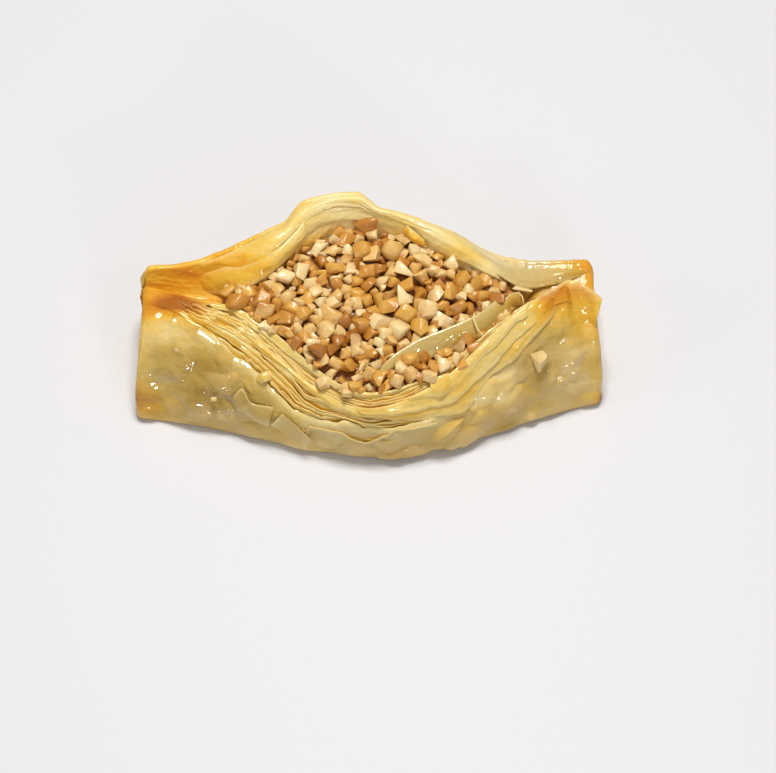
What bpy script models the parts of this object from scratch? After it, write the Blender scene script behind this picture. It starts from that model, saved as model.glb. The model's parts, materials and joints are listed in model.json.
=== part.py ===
"""Baklava boat, in metres, +Z up, resting on z = 0 and centred on the origin.

A parcel of stacked phyllo leaves lies along X. Its two long sides are gathered up and
pinched together at both ends, and they gape in the middle over a bed of chopped nuts.
The front lip (towards -Y) shows the cut leaf edges as steps; the back lip stands higher.
All the lines of the shape are worked out in millimetres as functions of x.
"""

import math

import bmesh
import bpy
import numpy as np

MM = 0.001

# Length, and the half widths of the flat base at the ends and in the middle
LENGTH = 100.0
END_FRONT = 12.7
END_BACK = 15.5
FRONT_BULGE = 11.7
BACK_BULGE = 7.0

# The crests of the pinched ends, and how far the lips fall or rise in the middle
LEFT_CREST = (2.5, 20.4)
RIGHT_CREST = (3.7, 22.0)
FRONT_LIP_OUT = 21.4
FRONT_LIP_DROP = 5.6
BACK_CREST = (11.5, 21.7)
BACK_LIP_OUT = 13.2
BACK_LIP_RISE = 6.2
BACK_LIP_FOLD = 0.2
BACK_LIP_THICK = 1.2
RIGHT_SHOULDER_DROP = 5.2
RIGHT_SHOULDER_BACK = 1.6
RIGHT_CREST_DROP = 5.5

# The hollow that the nuts fill
FLOOR = 3.2
LEFT_VALLEY = 16.8
RIGHT_VALLEY = 15.2
NUT_EDGE = 4.5
NUT_EDGE_OUT = 15.5

# Relief
LEDGES = 6
LEDGE_DEPTH = 0.55
LUMP_HEIGHT = 0.55
END_ROUND = 1.6
END_LEANS = (3.6, 2.3)
FOOT_ROUND = 1.3

# Chopped nuts
NUT_GAP = 0.5
NUT_SPACING = 0.66
NUT_RADIUS = (1.5, 2.6)
NUT_COUNT = 185
NUT_SEED = 7
NUT_ENDS = (-27, 29)
NUT_SIDES = (-19, 22)
NUT_TRIES = 12000
CORE_ENDS = (-30.5, 31.0)
CORE_STATIONS = 27

STATIONS = 58

PHYLLO = ("phyllo", (0.78, 0.60, 0.28, 1.0), 0.30)
NUTS = ("chopped_nuts", (0.80, 0.60, 0.34, 1.0), 0.45)


def bell(x, peak, left, right):
    """1 at the peak, falling as a squared cosine to 0 at `left` before it and `right` after it."""
    reach = np.where(x < peak, left, right)
    return np.cos(np.clip((x - peak) / reach, -1, 1) * math.pi / 2) ** 2


def step(x, start, end):
    """0 before start, 1 after end, smooth between."""
    t = np.clip((x - start) / (end - start), 0, 1)
    return t * t * (3 - 2 * t)


def mix(a, b, share):
    return a + (b - a) * share


def bend(p0, p1, p2, t):
    """Points of a quadratic curve from p0 to p2, drawn towards p1, as (y, z)."""
    return [(1 - t) ** 2 * a + 2 * t * (1 - t) * b + t * t * c for a, b, c in zip(p0, p1, p2)]


def lumps(a, b, size, seed):
    """Soft bumps of about that size, between -1 and 1: five plane waves in seeded directions."""
    draw = np.random.default_rng(seed)
    angles = draw.uniform(0, math.pi, 5)
    phases = draw.uniform(0, 2 * math.pi, 5)
    scales = draw.uniform(0.8, 1.35, 5) * math.pi / size
    waves = [
        np.sin(k * (a * math.cos(t) + b * math.sin(t)) + p)
        for k, t, p in zip(scales, angles, phases)
    ]
    return sum(waves) / 3


def front_foot(x):
    return -END_FRONT - FRONT_BULGE * bell(x, 4, 60, 53)


def back_foot(x):
    return END_BACK + BACK_BULGE * bell(x, -3, 50, 52)


def front_rim(x):
    """The upper edge of the front lip: the pinched crest at the ends, low and out in the middle."""
    crest_y, crest_z = [mix(a, b, step(x, -40, 40)) for a, b in zip(LEFT_CREST, RIGHT_CREST)]
    y = crest_y - FRONT_LIP_OUT * bell(x, 1, 33, 46)
    z = crest_z - FRONT_LIP_DROP * bell(x, 1, 38, 46) - RIGHT_CREST_DROP * step(x, 43, 46.5)
    return y, z


def back_rim(x):
    """The upper edge of the back lip: a fold stands up in the middle, and the right end is low."""
    fold = step(x, -17, -12.5) * (1 - step(x, -1, 4))
    gape = mix(bell(x, -3, 40, 42), fold, BACK_LIP_FOLD)
    shoulder = step(x, 17, 30)
    y = BACK_CREST[0] + BACK_LIP_OUT * gape + RIGHT_SHOULDER_BACK * shoulder
    z = BACK_CREST[1] + BACK_LIP_RISE * gape - RIGHT_SHOULDER_DROP * shoulder
    return y, z


def nut_edge(x):
    """Where the bed of nuts meets the inside of the back lip, as y."""
    return NUT_EDGE + NUT_EDGE_OUT * bell(x, -3, 24, 36) ** 0.7


def nut_bed(x, y):
    """Height of the packed nuts: low at the front lip, high at the back, a little domed."""
    dome = 1.5 * (1 - (x / 32) ** 2) * (1 - (y / 22) ** 2)
    return 18.0 + 0.18 * y + dome - 3.5 * step(x, 27, 37)


def hollow(x):
    """How open the parcel is at x, and the front, the back and the height of the hollow's floor."""
    gape = step(x, -32, -20) * (1 - step(x, 26, 38))
    floor = mix(np.where(x < 0, LEFT_VALLEY, RIGHT_VALLEY), FLOOR, gape)
    back = np.minimum(13.5, nut_edge(x) - 1.5)
    return gape, mix(5.2, -13.0, gape), mix(7.6, back, gape), floor


def front_wall(x, t):
    """The outside of the front, from the foot (t = 0) to the rim (t = 1)."""
    foot = front_foot(x)
    middle = bell(x, 4, 60, 49)
    shoulder = (foot + mix(4.0, -1.6, middle), mix(15.0, 9.0, middle))
    return bend((foot, 0.0), shoulder, front_rim(x), t)


def strata_start(x):
    """Where on the front wall the outermost leaf ends and the steps of the leaf edges begin."""
    return 0.4 + 0.5 * (1 - bell(x, 1, 45, 40)) ** 1.5


def inner_front(x, t):
    """The inside of the front lip, from the rim (t = 0) to the floor (t = 1)."""
    rim_y, rim_z = front_rim(x)
    _, front, _, floor = hollow(x)
    return bend((rim_y, rim_z), (rim_y + 1.0, mix(floor, rim_z, 0.35)), (front, floor), t)


def inner_back(x, t):
    """The inside of the back lip, from the floor (t = 0) past the nuts' edge to the rim (t = 1)."""
    rim_y, rim_z = back_rim(x)
    gape, _, back, floor = hollow(x)
    edge_y = mix((back + rim_y) / 2, nut_edge(x), gape)
    edge_z = mix((floor + rim_z) / 2, nut_bed(x, edge_y), gape)
    pull = (2 * edge_y - (back + rim_y) / 2, 2 * edge_z - (floor + rim_z) / 2)
    return bend((back, floor), pull, (rim_y, rim_z), t)


def back_wall(x, t):
    """The outside of the back, from the rim (t = 0) to the foot (t = 1)."""
    rim_y, rim_z = back_rim(x)
    foot = back_foot(x)
    top = (rim_y + BACK_LIP_THICK, rim_z - 0.3)
    return bend(top, (foot + 2.3, 0.45 * rim_z), (foot, 0.0), t)


def lumpy(x, y, z, share, seed):
    """A wall point pushed along y by the nuts and folds under the outer leaf."""
    push = LUMP_HEIGHT * share * lumps(x, z, 6.5, seed)
    return y + push, z


def pastry_section(x):
    """One closed cross-section at x, as (y, z) points, from the front foot up and over to the back foot."""
    points = []
    foot_front, foot_back = front_foot(x), back_foot(x)
    start = strata_start(x)
    points.append((foot_front + FOOT_ROUND, 0.0))
    for t in np.linspace(0.09, start, 7):
        y, z = front_wall(x, t)
        points.append(lumpy(x, y, z, math.sin(math.pi * min(1, t / start)), 3))
    for k in range(LEDGES):
        low, high = mix(start, 1, k / LEDGES), mix(start, 1, (k + 1) / LEDGES)
        wave = 0.12 * math.sin(x * 0.33 + 2.1 * k)
        y, z = front_wall(x, mix(low, high, 0.12 + wave))
        points.append((y + LEDGE_DEPTH, z))
        if k < LEDGES - 1:
            y, z = front_wall(x, mix(low, high, 0.92 + wave))
            points.append((y - 0.15, z + 0.1))
    points.append(front_rim(x))
    points += [inner_front(x, t) for t in (0.3, 0.62, 1.0)]
    _, front, back, floor = hollow(x)
    points.append((mix(front, back, 0.5), floor - 0.2))
    for t in (0.0, 0.35, 0.6, 0.8):
        points.append(inner_back(x, t))
    points.append(back_rim(x))
    for t in (0.0, 0.2, 0.4, 0.6, 0.78, 0.92):
        y, z = back_wall(x, t)
        points.append(lumpy(x, y, z, math.sin(math.pi * t), 5))
    points.append((foot_back - FOOT_ROUND, 0.0))
    points += [(mix(foot_back, foot_front, share), 0.0) for share in (0.3, 0.5, 0.7)]
    return np.array([(float(y), float(z)) for y, z in points])


def closed_sweep(name, stations, sections):
    """A solid through closed cross-sections of equal length, with a flat face at each end."""
    mesh = bmesh.new()
    rings = []
    for x, section in zip(stations, sections):
        lean = END_LEANS[int(x > 0)] * (2 * x / LENGTH) ** 7
        rings.append(
            [mesh.verts.new(((x - lean * (z / 21) ** 2) * MM, y * MM, z * MM)) for y, z in section]
        )
    count = len(rings[0])
    for before, after in zip(rings, rings[1:]):
        for k in range(count):
            following = (k + 1) % count
            mesh.faces.new((before[k], before[following], after[following], after[k]))
    mesh.faces.new(rings[0])
    mesh.faces.new(rings[-1])
    bmesh.ops.recalc_face_normals(mesh, faces=mesh.faces[:])
    bmesh.ops.triangulate(mesh, faces=mesh.faces[:])
    data = bpy.data.meshes.new(name)
    mesh.to_mesh(data)
    mesh.free()
    made = bpy.data.objects.new(name, data)
    bpy.context.scene.collection.objects.link(made)
    return made


def pastry_stations():
    """Even stations along the length, and an arc of closer ones that rounds each end."""
    half = LENGTH / 2
    inner = np.linspace(-half + END_ROUND, half - END_ROUND, STATIONS)
    arc = [math.radians(a) for a in (35, 65, 90)]
    end = [(half - END_ROUND + END_ROUND * math.sin(a), 1 - math.cos(a)) for a in arc]
    left = [(-x, inset) for x, inset in reversed(end)]
    return left + [(x, 0.0) for x in inner] + end


def make_pastry():
    """The whole phyllo parcel, with its steps of leaf edges, its hollow and its rounded ends."""
    stations, sections = [], []
    for x, inset in pastry_stations():
        section = pastry_section(x)
        middle = np.array([section[:, 0].mean(), section[:, 1].max() / 2])
        shrunk = section + (middle - section) * inset * END_ROUND / 12
        shrunk[:, 1] = np.where(section[:, 1] == 0, 0, shrunk[:, 1])
        stations.append(x)
        sections.append(shrunk)
    return closed_sweep("pastry", stations, sections)


def inside_wall(x, wall, t):
    """Points of an inner wall, moved into the hollow by the nuts' gap and square to the wall."""
    (y0, z0), (y1, z1) = wall(x, t - 0.01), wall(x, t + 0.01)
    length = np.hypot(y1 - y0, z1 - z0)
    y = (y0 + y1) / 2 - (z1 - z0) / length * NUT_GAP
    z = (z0 + z1) / 2 + (y1 - y0) / length * NUT_GAP
    return y, z


def wall_at_bed(x, wall, lowest):
    """Where an inner wall comes out of the nuts, as y and t. `lowest` picks the end of the bare stretch."""
    t = np.linspace(0, 1, 121)
    y, z = inside_wall(x, wall, t)
    above = np.flatnonzero(z > nut_bed(x, y))
    if above.size == 0:
        above = [int(np.argmax(z))]
    return float(y[above[lowest]]), float(t[above[lowest]])


def core_section(x):
    """One closed cross-section of the nuts' core, clear of the hollow by the gap."""
    _, front, back, floor = hollow(x)
    _, front_t = wall_at_bed(x, inner_front, -1)
    _, back_t = wall_at_bed(x, inner_back, 0)
    points = [inside_wall(x, inner_front, t) for t in np.linspace(front_t, 0.9, 4)]
    points += [(mix(front, back, share), floor + NUT_GAP) for share in (0.3, 0.7)]
    points += [inside_wall(x, inner_back, t) for t in np.linspace(0.1, back_t, 5)]
    for share in np.linspace(0, 1, 9)[1:-1]:
        y = mix(points[10][0], points[0][0], share)
        points.append((y, nut_bed(x, y)))
    return np.array([(float(y), float(z)) for y, z in points])


def make_core():
    """The packed nuts below the surface, as one plain body that fills the hollow."""
    stations = np.linspace(*CORE_ENDS, CORE_STATIONS)
    return closed_sweep("nut_filling", stations, [core_section(x) for x in stations])


def make_nut(centre, radius, stretch, turn, draw):
    """One chopped piece: a jittered icosahedron, stretched and turned."""
    mesh = bmesh.new()
    bmesh.ops.create_icosphere(mesh, subdivisions=1, radius=radius)
    for corner in mesh.verts:
        corner.co *= draw.uniform(0.8, 1.15)
        corner.co.x *= stretch[0]
        corner.co.y *= stretch[1]
        corner.co.z *= stretch[2]
    data = bpy.data.meshes.new("piece")
    mesh.to_mesh(data)
    mesh.free()
    piece = bpy.data.objects.new("piece", data)
    piece.location = [c * MM for c in centre]
    piece.rotation_euler = turn
    piece.scale = (MM, MM, MM)
    return piece


def nut_places(draw):
    """Spots for the nuts over the open bed, clear of the walls and hardly overlapping, as (x, y, radius)."""
    places = []
    tries = 0
    while len(places) < NUT_COUNT and tries < NUT_TRIES:
        tries += 1
        radius = mix(*NUT_RADIUS, draw.uniform(0, 1) * (1 - 0.75 * tries / NUT_TRIES))
        x, y = draw.uniform(*NUT_ENDS), draw.uniform(*NUT_SIDES)
        clear = 1.2 * radius
        low = wall_at_bed(x, inner_front, -1)[0] + clear
        high = wall_at_bed(x, inner_back, 0)[0] - clear
        if not low < y < high:
            continue
        reach = [(radius + r) * NUT_SPACING for _, _, r in places]
        if all((x - a) ** 2 + (y - b) ** 2 > d * d for (a, b, _), d in zip(places, reach)):
            places.append((x, y, radius))
    return places


def keep_largest_shell(mesh):
    """Drops sealed hollows and loose scraps, so that one closed body is left."""
    mesh.verts.ensure_lookup_table()
    unseen = set(mesh.verts)
    shells = []
    while unseen:
        front = [unseen.pop()]
        shell = set(front)
        while front:
            corner = front.pop()
            for edge in corner.link_edges:
                other = edge.other_vert(corner)
                if other in unseen:
                    unseen.discard(other)
                    shell.add(other)
                    front.append(other)
        shells.append(shell)
    largest = max(shells, key=len)
    scraps = [corner for shell in shells if shell is not largest for corner in shell]
    bmesh.ops.delete(mesh, geom=scraps, context="VERTS")


def fuse(body, pieces):
    """Joins the pieces to the body with one union, applied, and removes them."""
    group = bpy.data.collections.new("pieces")
    bpy.context.scene.collection.children.link(group)
    for piece in pieces:
        group.objects.link(piece)
    join = body.modifiers.new("join", "BOOLEAN")
    join.operation = "UNION"
    join.operand_type = "COLLECTION"
    join.collection = group
    join.solver = "MANIFOLD"
    bpy.context.view_layer.update()
    evaluated = body.evaluated_get(bpy.context.evaluated_depsgraph_get())
    mesh = bmesh.new()
    mesh.from_mesh(evaluated.to_mesh())
    keep_largest_shell(mesh)
    bmesh.ops.triangulate(mesh, faces=mesh.faces[:])
    body.modifiers.remove(join)
    mesh.to_mesh(body.data)
    mesh.free()
    for piece in pieces:
        bpy.data.objects.remove(piece)
    bpy.data.collections.remove(group)


def make_filling():
    """The bed of chopped nuts: the core with every piece that shows fused on."""
    draw = np.random.default_rng(NUT_SEED)
    core = make_core()
    pieces = []
    for x, y, radius in nut_places(draw):
        stretch = draw.uniform((0.85, 0.8, 0.65), (1.2, 1.05, 0.95))
        turn = draw.uniform(-0.9, 0.9, 3)
        lift = draw.uniform(0.1, 0.65) * radius
        pieces.append(make_nut((x, y, nut_bed(x, y) + lift), radius, stretch, turn, draw))
    fuse(core, pieces)
    return core


def paint(made, finish):
    """Gives an object its own plain material."""
    name, colour, roughness = finish
    material = bpy.data.materials.new(name)
    material.use_nodes = True
    shader = material.node_tree.nodes["Principled BSDF"]
    shader.inputs["Base Color"].default_value = colour
    shader.inputs["Roughness"].default_value = roughness
    shader.inputs["Metallic"].default_value = 0.0
    made.data.materials.clear()
    made.data.materials.append(material)


def centre_on_origin(objects):
    """Moves everything so that the whole rests on z = 0 with its box centred over the origin."""
    corners = np.array([corner.co[:] for made in objects for corner in made.data.vertices])
    low, high = corners.min(axis=0), corners.max(axis=0)
    shift = (-(low[0] + high[0]) / 2, -(low[1] + high[1]) / 2, -low[2])
    for made in objects:
        made.location = shift


def main():
    for old in list(bpy.data.objects):
        bpy.data.objects.remove(old)
    pastry = make_pastry()
    filling = make_filling()
    paint(pastry, PHYLLO)
    paint(filling, NUTS)
    centre_on_origin([pastry, filling])


main()
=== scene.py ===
import json
import math

import bmesh
import bpy
import numpy as np
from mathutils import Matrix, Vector

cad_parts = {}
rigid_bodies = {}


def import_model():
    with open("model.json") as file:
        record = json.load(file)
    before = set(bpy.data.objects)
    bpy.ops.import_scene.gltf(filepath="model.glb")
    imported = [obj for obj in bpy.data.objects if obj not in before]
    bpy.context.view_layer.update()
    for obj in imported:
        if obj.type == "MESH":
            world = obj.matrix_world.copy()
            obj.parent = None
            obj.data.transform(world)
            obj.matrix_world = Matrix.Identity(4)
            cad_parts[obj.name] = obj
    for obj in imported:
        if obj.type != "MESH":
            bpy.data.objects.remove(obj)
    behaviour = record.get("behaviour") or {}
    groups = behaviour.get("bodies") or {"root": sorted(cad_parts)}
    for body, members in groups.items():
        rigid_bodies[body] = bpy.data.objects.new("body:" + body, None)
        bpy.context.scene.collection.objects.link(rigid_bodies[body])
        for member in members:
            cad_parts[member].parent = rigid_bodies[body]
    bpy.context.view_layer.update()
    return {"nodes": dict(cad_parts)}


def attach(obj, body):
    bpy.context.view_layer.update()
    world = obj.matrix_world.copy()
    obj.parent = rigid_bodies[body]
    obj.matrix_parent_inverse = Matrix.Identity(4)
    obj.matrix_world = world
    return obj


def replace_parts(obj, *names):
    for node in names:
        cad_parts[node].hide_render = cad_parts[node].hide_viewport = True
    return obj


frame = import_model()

print("solids loaded:", ", ".join(sorted(frame["nodes"])))

mm = 0.001  # every shape below is worked out in millimetres and stored in metres

# What a user would change about the parcel as a whole. The solids have the same values, apart from
# leftCrestBack and leftSlant, which they leave out
parcel = {
    "length": 100.0,
    "endFront": 12.7, "endBack": 15.5, "frontBulge": 11.7, "backBulge": 7.0,
    "leftCrest": (2.5, 20.4), "leftCrestBack": 5.5, "rightCrest": (3.7, 22.0), "rightCrestDrop": 5.5,
    "frontLipOut": 21.4, "frontLipDrop": 5.6,
    "backCrest": (11.5, 21.7), "backLipOut": 13.2, "backLipRise": 6.2, "backLipFold": 0.2,
    "backLipThick": 1.2, "shoulderDrop": 5.2, "shoulderBack": 1.6,
    "floor": 3.2, "leftValley": 16.8, "rightValley": 15.2, "nutEdge": 4.5, "nutEdgeOut": 15.5,
    "bedHeight": 18.0, "bedSlope": 0.18, "bedDome": 1.5, "bedDrop": 3.5,
    "leans": (3.6, 2.3), "leftSlant": 0.6, "endRound": 1.6, "footRound": 1.3, "lumpHeight": 0.55,
    "shiftY": -0.391,  # the drawing is moved by this much to sit centred on the frame
}


# Curves of the parcel, all as functions of x

def bell(x, peak, left, right):
    # squared cosine: 1 at the peak, 0 at `left` before it and at `right` after it
    reach = np.where(x < peak, left, right)
    return np.cos(np.clip((x - peak) / reach, -1, 1) * math.pi / 2) ** 2


def step(x, start, end):
    # 0 before start, 1 after end, and a cubic ease between
    t = np.clip((x - start) / (end - start), 0, 1)
    return t * t * (3 - 2 * t)


def mix(a, b, share):
    # a straight blend: a where the share is 0, b where it is 1
    return a + (b - a) * share


def bend(p0, p1, p2, t):
    # quadratic curve from p0 to p2 drawn towards p1, as y and z
    return [(1 - t) ** 2 * a + 2 * t * (1 - t) * b + t * t * c for a, b, c in zip(p0, p1, p2)]


def frontFoot(x):
    # a straight line that a bell swells outwards in the middle
    return -parcel["endFront"] - parcel["frontBulge"] * bell(x, 4, 60, 53)


def backFoot(x):
    # the same at the back, with a wider and flatter bell
    return parcel["endBack"] + parcel["backBulge"] * bell(x, -3, 50, 52)


def leftPinch(x):
    # 1 at the left end, where the front crest is folded back over the valley, and 0 from x = -28
    return 1 - step(x, -52, -28)


def frontRim(x):
    # the crest of the pinched ends, drawn out and down in the middle by bells
    y, z = [mix(a, b, step(x, -40, 40)) for a, b in zip(parcel["leftCrest"], parcel["rightCrest"])]
    y = y - parcel["frontLipOut"] * bell(x, 1, 33, 46) + parcel["leftCrestBack"] * leftPinch(x)
    z = z - parcel["frontLipDrop"] * bell(x, 1, 38, 46) - parcel["rightCrestDrop"] * step(x, 43, 46.5)
    return y, z


def backRim(x):
    # a bell with a standing fold in the middle, and a low shoulder on the right
    fold = step(x, -17, -12.5) * (1 - step(x, -1, 4))
    gape = mix(bell(x, -3, 40, 42), fold, parcel["backLipFold"])
    shoulder = step(x, 17, 30)
    y = parcel["backCrest"][0] + parcel["backLipOut"] * gape + parcel["shoulderBack"] * shoulder
    z = parcel["backCrest"][1] + parcel["backLipRise"] * gape - parcel["shoulderDrop"] * shoulder
    return y, z


def nutEdge(x):
    # how far back the nuts reach: a line with a full bell on it
    return parcel["nutEdge"] + parcel["nutEdgeOut"] * bell(x, -3, 24, 36) ** 0.7


def nutBed(x, y):
    # height of the nuts: a plane that rises to the back, a low dome, and a drop on the right
    dome = parcel["bedDome"] * (1 - (x / 32) ** 2) * (1 - (y / 22) ** 2)
    return parcel["bedHeight"] + parcel["bedSlope"] * y + dome - parcel["bedDrop"] * step(x, 27, 37)


def hollow(x):
    # how far the parcel gapes, from 0 to 1, and the front, back and height of the hollow's floor,
    # each blended by the gape between a narrow valley and the wide hollow
    gape = step(x, -32, -20) * (1 - step(x, 26, 38))
    floor = mix(np.where(x < 0, parcel["leftValley"], parcel["rightValley"]), parcel["floor"], gape)
    back = np.minimum(13.5, nutEdge(x) - 1.5)
    pinch = leftPinch(x)
    return gape, mix(5.2 + 3.4 * pinch, -13.0, gape), mix(7.6 + 1.8 * pinch, back, gape), floor


def strataStart(x):
    # the height on the front wall where the stepped leaf edges begin: low in the middle, high at the ends
    return 0.4 + 0.5 * (1 - bell(x, 1, 45, 40)) ** 1.5


def frontWall(x, t):
    # outside of the front, foot at t = 0 and rim at t = 1
    foot = frontFoot(x)
    middle = bell(x, 4, 60, 49)
    shoulder = (foot + mix(4.0, -1.6, middle), mix(15.0, 9.0, middle))
    return bend((foot, 0.0), shoulder, frontRim(x), t)


def innerFront(x, t):
    # inside of the front lip, rim at t = 0 and floor at t = 1
    rimY, rimZ = frontRim(x)
    _, front, _, floor = hollow(x)
    return bend((rimY, rimZ), (rimY + 1.0, mix(floor, rimZ, 0.35)), (front, floor), t)


def innerBack(x, t):
    # inside of the back lip, floor at t = 0, the nuts' edge at t = 0.5 and rim at t = 1
    rimY, rimZ = backRim(x)
    gape, _, back, floor = hollow(x)
    edgeY = mix((back + rimY) / 2, nutEdge(x), gape)
    edgeZ = mix((floor + rimZ) / 2, nutBed(x, edgeY), gape)
    pull = (2 * edgeY - (back + rimY) / 2, 2 * edgeZ - (floor + rimZ) / 2)
    return bend((back, floor), pull, (rimY, rimZ), t)


def backWall(x, t):
    # outside of the back, rim at t = 0 and foot at t = 1
    rimY, rimZ = backRim(x)
    foot = backFoot(x)
    top = (rimY + parcel["backLipThick"], rimZ - 0.3)
    return bend(top, (foot + 2.3, 0.45 * rimZ), (foot, 0.0), t)


def place(x, y, z):
    # drawing to frame: the ends lean in with height squared, the left one also is cut slantwise so that
    # its back lies further in, and then everything shifts along y
    x, y, z = np.broadcast_arrays(x, y, z)
    lean = np.where(x > 0, parcel["leans"][1], parcel["leans"][0]) * (2 * x / parcel["length"]) ** 7
    slant = np.where(x < 0, parcel["leftSlant"] * np.clip((y + 13) / 28.5, 0, 1), 0)
    return np.stack([x - lean * np.maximum((z / 21) ** 2, slant), y + parcel["shiftY"], z], axis=-1)


# Noise and mesh helpers

def lumps(a, b, size, seed):
    # five seeded plane waves of about that size, added up
    draw = np.random.default_rng(seed)
    angles = draw.uniform(0, math.pi, 5)
    phases = draw.uniform(0, 2 * math.pi, 5)
    scales = draw.uniform(0.8, 1.35, 5) * math.pi / size
    waves = [np.sin(k * (a * math.cos(t) + b * math.sin(t)) + p)
             for k, t, p in zip(scales, angles, phases)]
    return sum(waves) / 3


def grain(a, b, seed):
    # value noise: seeded heights on a unit lattice, eased between, from -1 to 1
    table = np.random.default_rng(seed).uniform(-1, 1, 8192)
    a, b = np.broadcast_arrays(a, b)
    ia, ib = np.floor(a).astype(int), np.floor(b).astype(int)
    fa, fb = a - ia, b - ib
    fa, fb = fa * fa * (3 - 2 * fa), fb * fb * (3 - 2 * fb)

    def height(i, j):
        # the table's height for one corner of the lattice
        return table[(i * 57 + j * 911) % 8192]

    low = mix(height(ia, ib), height(ia + 1, ib), fa)
    high = mix(height(ia, ib + 1), height(ia + 1, ib + 1), fa)
    return mix(low, high, fb)


def cloud(a, b, seed, layers=3):
    # value noise added to itself at half the size and half the strength, layer by layer
    return sum(grain(a * 2 ** k, b * 2 ** k, seed + k) * 0.5 ** k for k in range(layers)) / 1.6


def ridges(a, b, seed, sharp=3.0):
    # thin raised lines where the noise crosses zero, from 0 to 1
    return (1 - np.abs(grain(a, b, seed))) ** sharp * step(grain(a * 0.4, b * 0.4, seed + 9), -0.2, 0.5)


def pressed(u, v, seed, count, size, spanU, spanV):
    # a film over scattered lumps: at each point the highest of many low domes, from 0 to 1
    draw = np.random.default_rng(seed)
    field = np.zeros(np.broadcast(u, v).shape)
    middleU, middleV = draw.uniform(*spanU, count), draw.uniform(*spanV, count)
    radii, heights = draw.uniform(*size, count), draw.uniform(0.45, 1, count)
    slants = draw.uniform(-0.6, 0.6, count)
    for cu, cv, radius, height, slant in zip(middleU, middleV, radii, heights, slants):
        away = ((u - cu + slant * (v - cv)) ** 2 + 1.5 * (v - cv) ** 2) / radius ** 2
        field = np.maximum(field, height * (1 - np.clip(away, 0, 1)) ** 1.4)
    return field


def gridNormals(points):
    # cross product of the steps along both directions of the grid
    normal = np.cross(np.gradient(points, axis=0), np.gradient(points, axis=1))
    return normal / np.maximum(np.linalg.norm(normal, axis=-1, keepdims=True), 1e-9)


def gridQuads(n, m, closed=False):
    # corner numbers of the quads of an n by m grid, the last column joined to the first if closed
    i = np.arange(n - 1)[:, None]
    j = np.arange(m if closed else m - 1)[None, :]
    k = (j + 1) % m
    return np.stack([i * m + j, (i + 1) * m + j, (i + 1) * m + k, i * m + k], axis=-1).reshape(-1, 4)


def makeMesh(name, points, quads, tris=None, values=None, smooth=True, slotName="phyllo"):
    # arrays into a mesh in metres, with its point attributes, riding on the root body
    data = bpy.data.meshes.new(name)
    faces = quads.tolist() + ([] if tris is None else tris.tolist())
    data.from_pydata((points.reshape(-1, 3) * mm).tolist(), [], faces)
    for key, value in (values or {}).items():
        layer = data.attributes.new(key, "FLOAT", "POINT")
        layer.data.foreach_set("value", np.ascontiguousarray(value, dtype=np.float32).ravel())
    data.polygons.foreach_set("use_smooth", [smooth] * len(faces))
    data.update()
    made = bpy.data.objects.new(name, data)
    bpy.context.scene.collection.objects.link(made)
    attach(made, "root")
    return made


def closedSheet(outer, inner):
    # two grids of one size, back to back, with a rim of quads round their four sides
    n, m = outer.shape[:2]
    points = np.concatenate([outer.reshape(-1, 3), inner.reshape(-1, 3)])
    face = gridQuads(n, m)
    back = face[:, ::-1] + n * m
    row = np.arange(n)
    column = np.arange(m)
    loop = np.concatenate([column, row[1:] * m + m - 1, (n - 1) * m + column[-2::-1], row[-2:0:-1] * m])
    following = np.roll(loop, -1)
    rim = np.stack([loop, following, following + n * m, loop + n * m], axis=-1)
    return points, np.concatenate([face, back, rim])


def joined(parts):
    # several (points, quads, values) sets as one, in the order that makeMesh takes, with no triangles
    points, quads, values, start = [], [], {}, 0
    for somePoints, someQuads, someValues in parts:
        points.append(somePoints)
        quads.append(someQuads + start)
        start += len(somePoints)
        for key, value in someValues.items():
            values.setdefault(key, []).append(np.ravel(value))
    values = {key: np.concatenate(pieces) for key, pieces in values.items()}
    return np.concatenate(points), np.concatenate(quads), None, values


def smoothPath(knots, count):
    # a Catmull-Rom curve through the knots, evenly spaced in the knots' numbers
    knots = np.asarray(knots, float)
    padded = np.concatenate([2 * knots[:1] - knots[1:2], knots, 2 * knots[-1:] - knots[-2:-1]])
    at = np.linspace(0, len(knots) - 1, count)
    i = np.minimum(at.astype(int), len(knots) - 2)
    t = (at - i)[:, None]
    a, b, c, d = padded[i], padded[i + 1], padded[i + 2], padded[i + 3]
    square, cube = 2 * a - 5 * b + 4 * c - d, 3 * b - a - 3 * c + d
    return 0.5 * (2 * b + (c - a) * t + square * t ** 2 + cube * t ** 3)


# Browning, and one spot of painted light: soft spots, each with its centre, its three half widths and its
# strength

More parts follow.
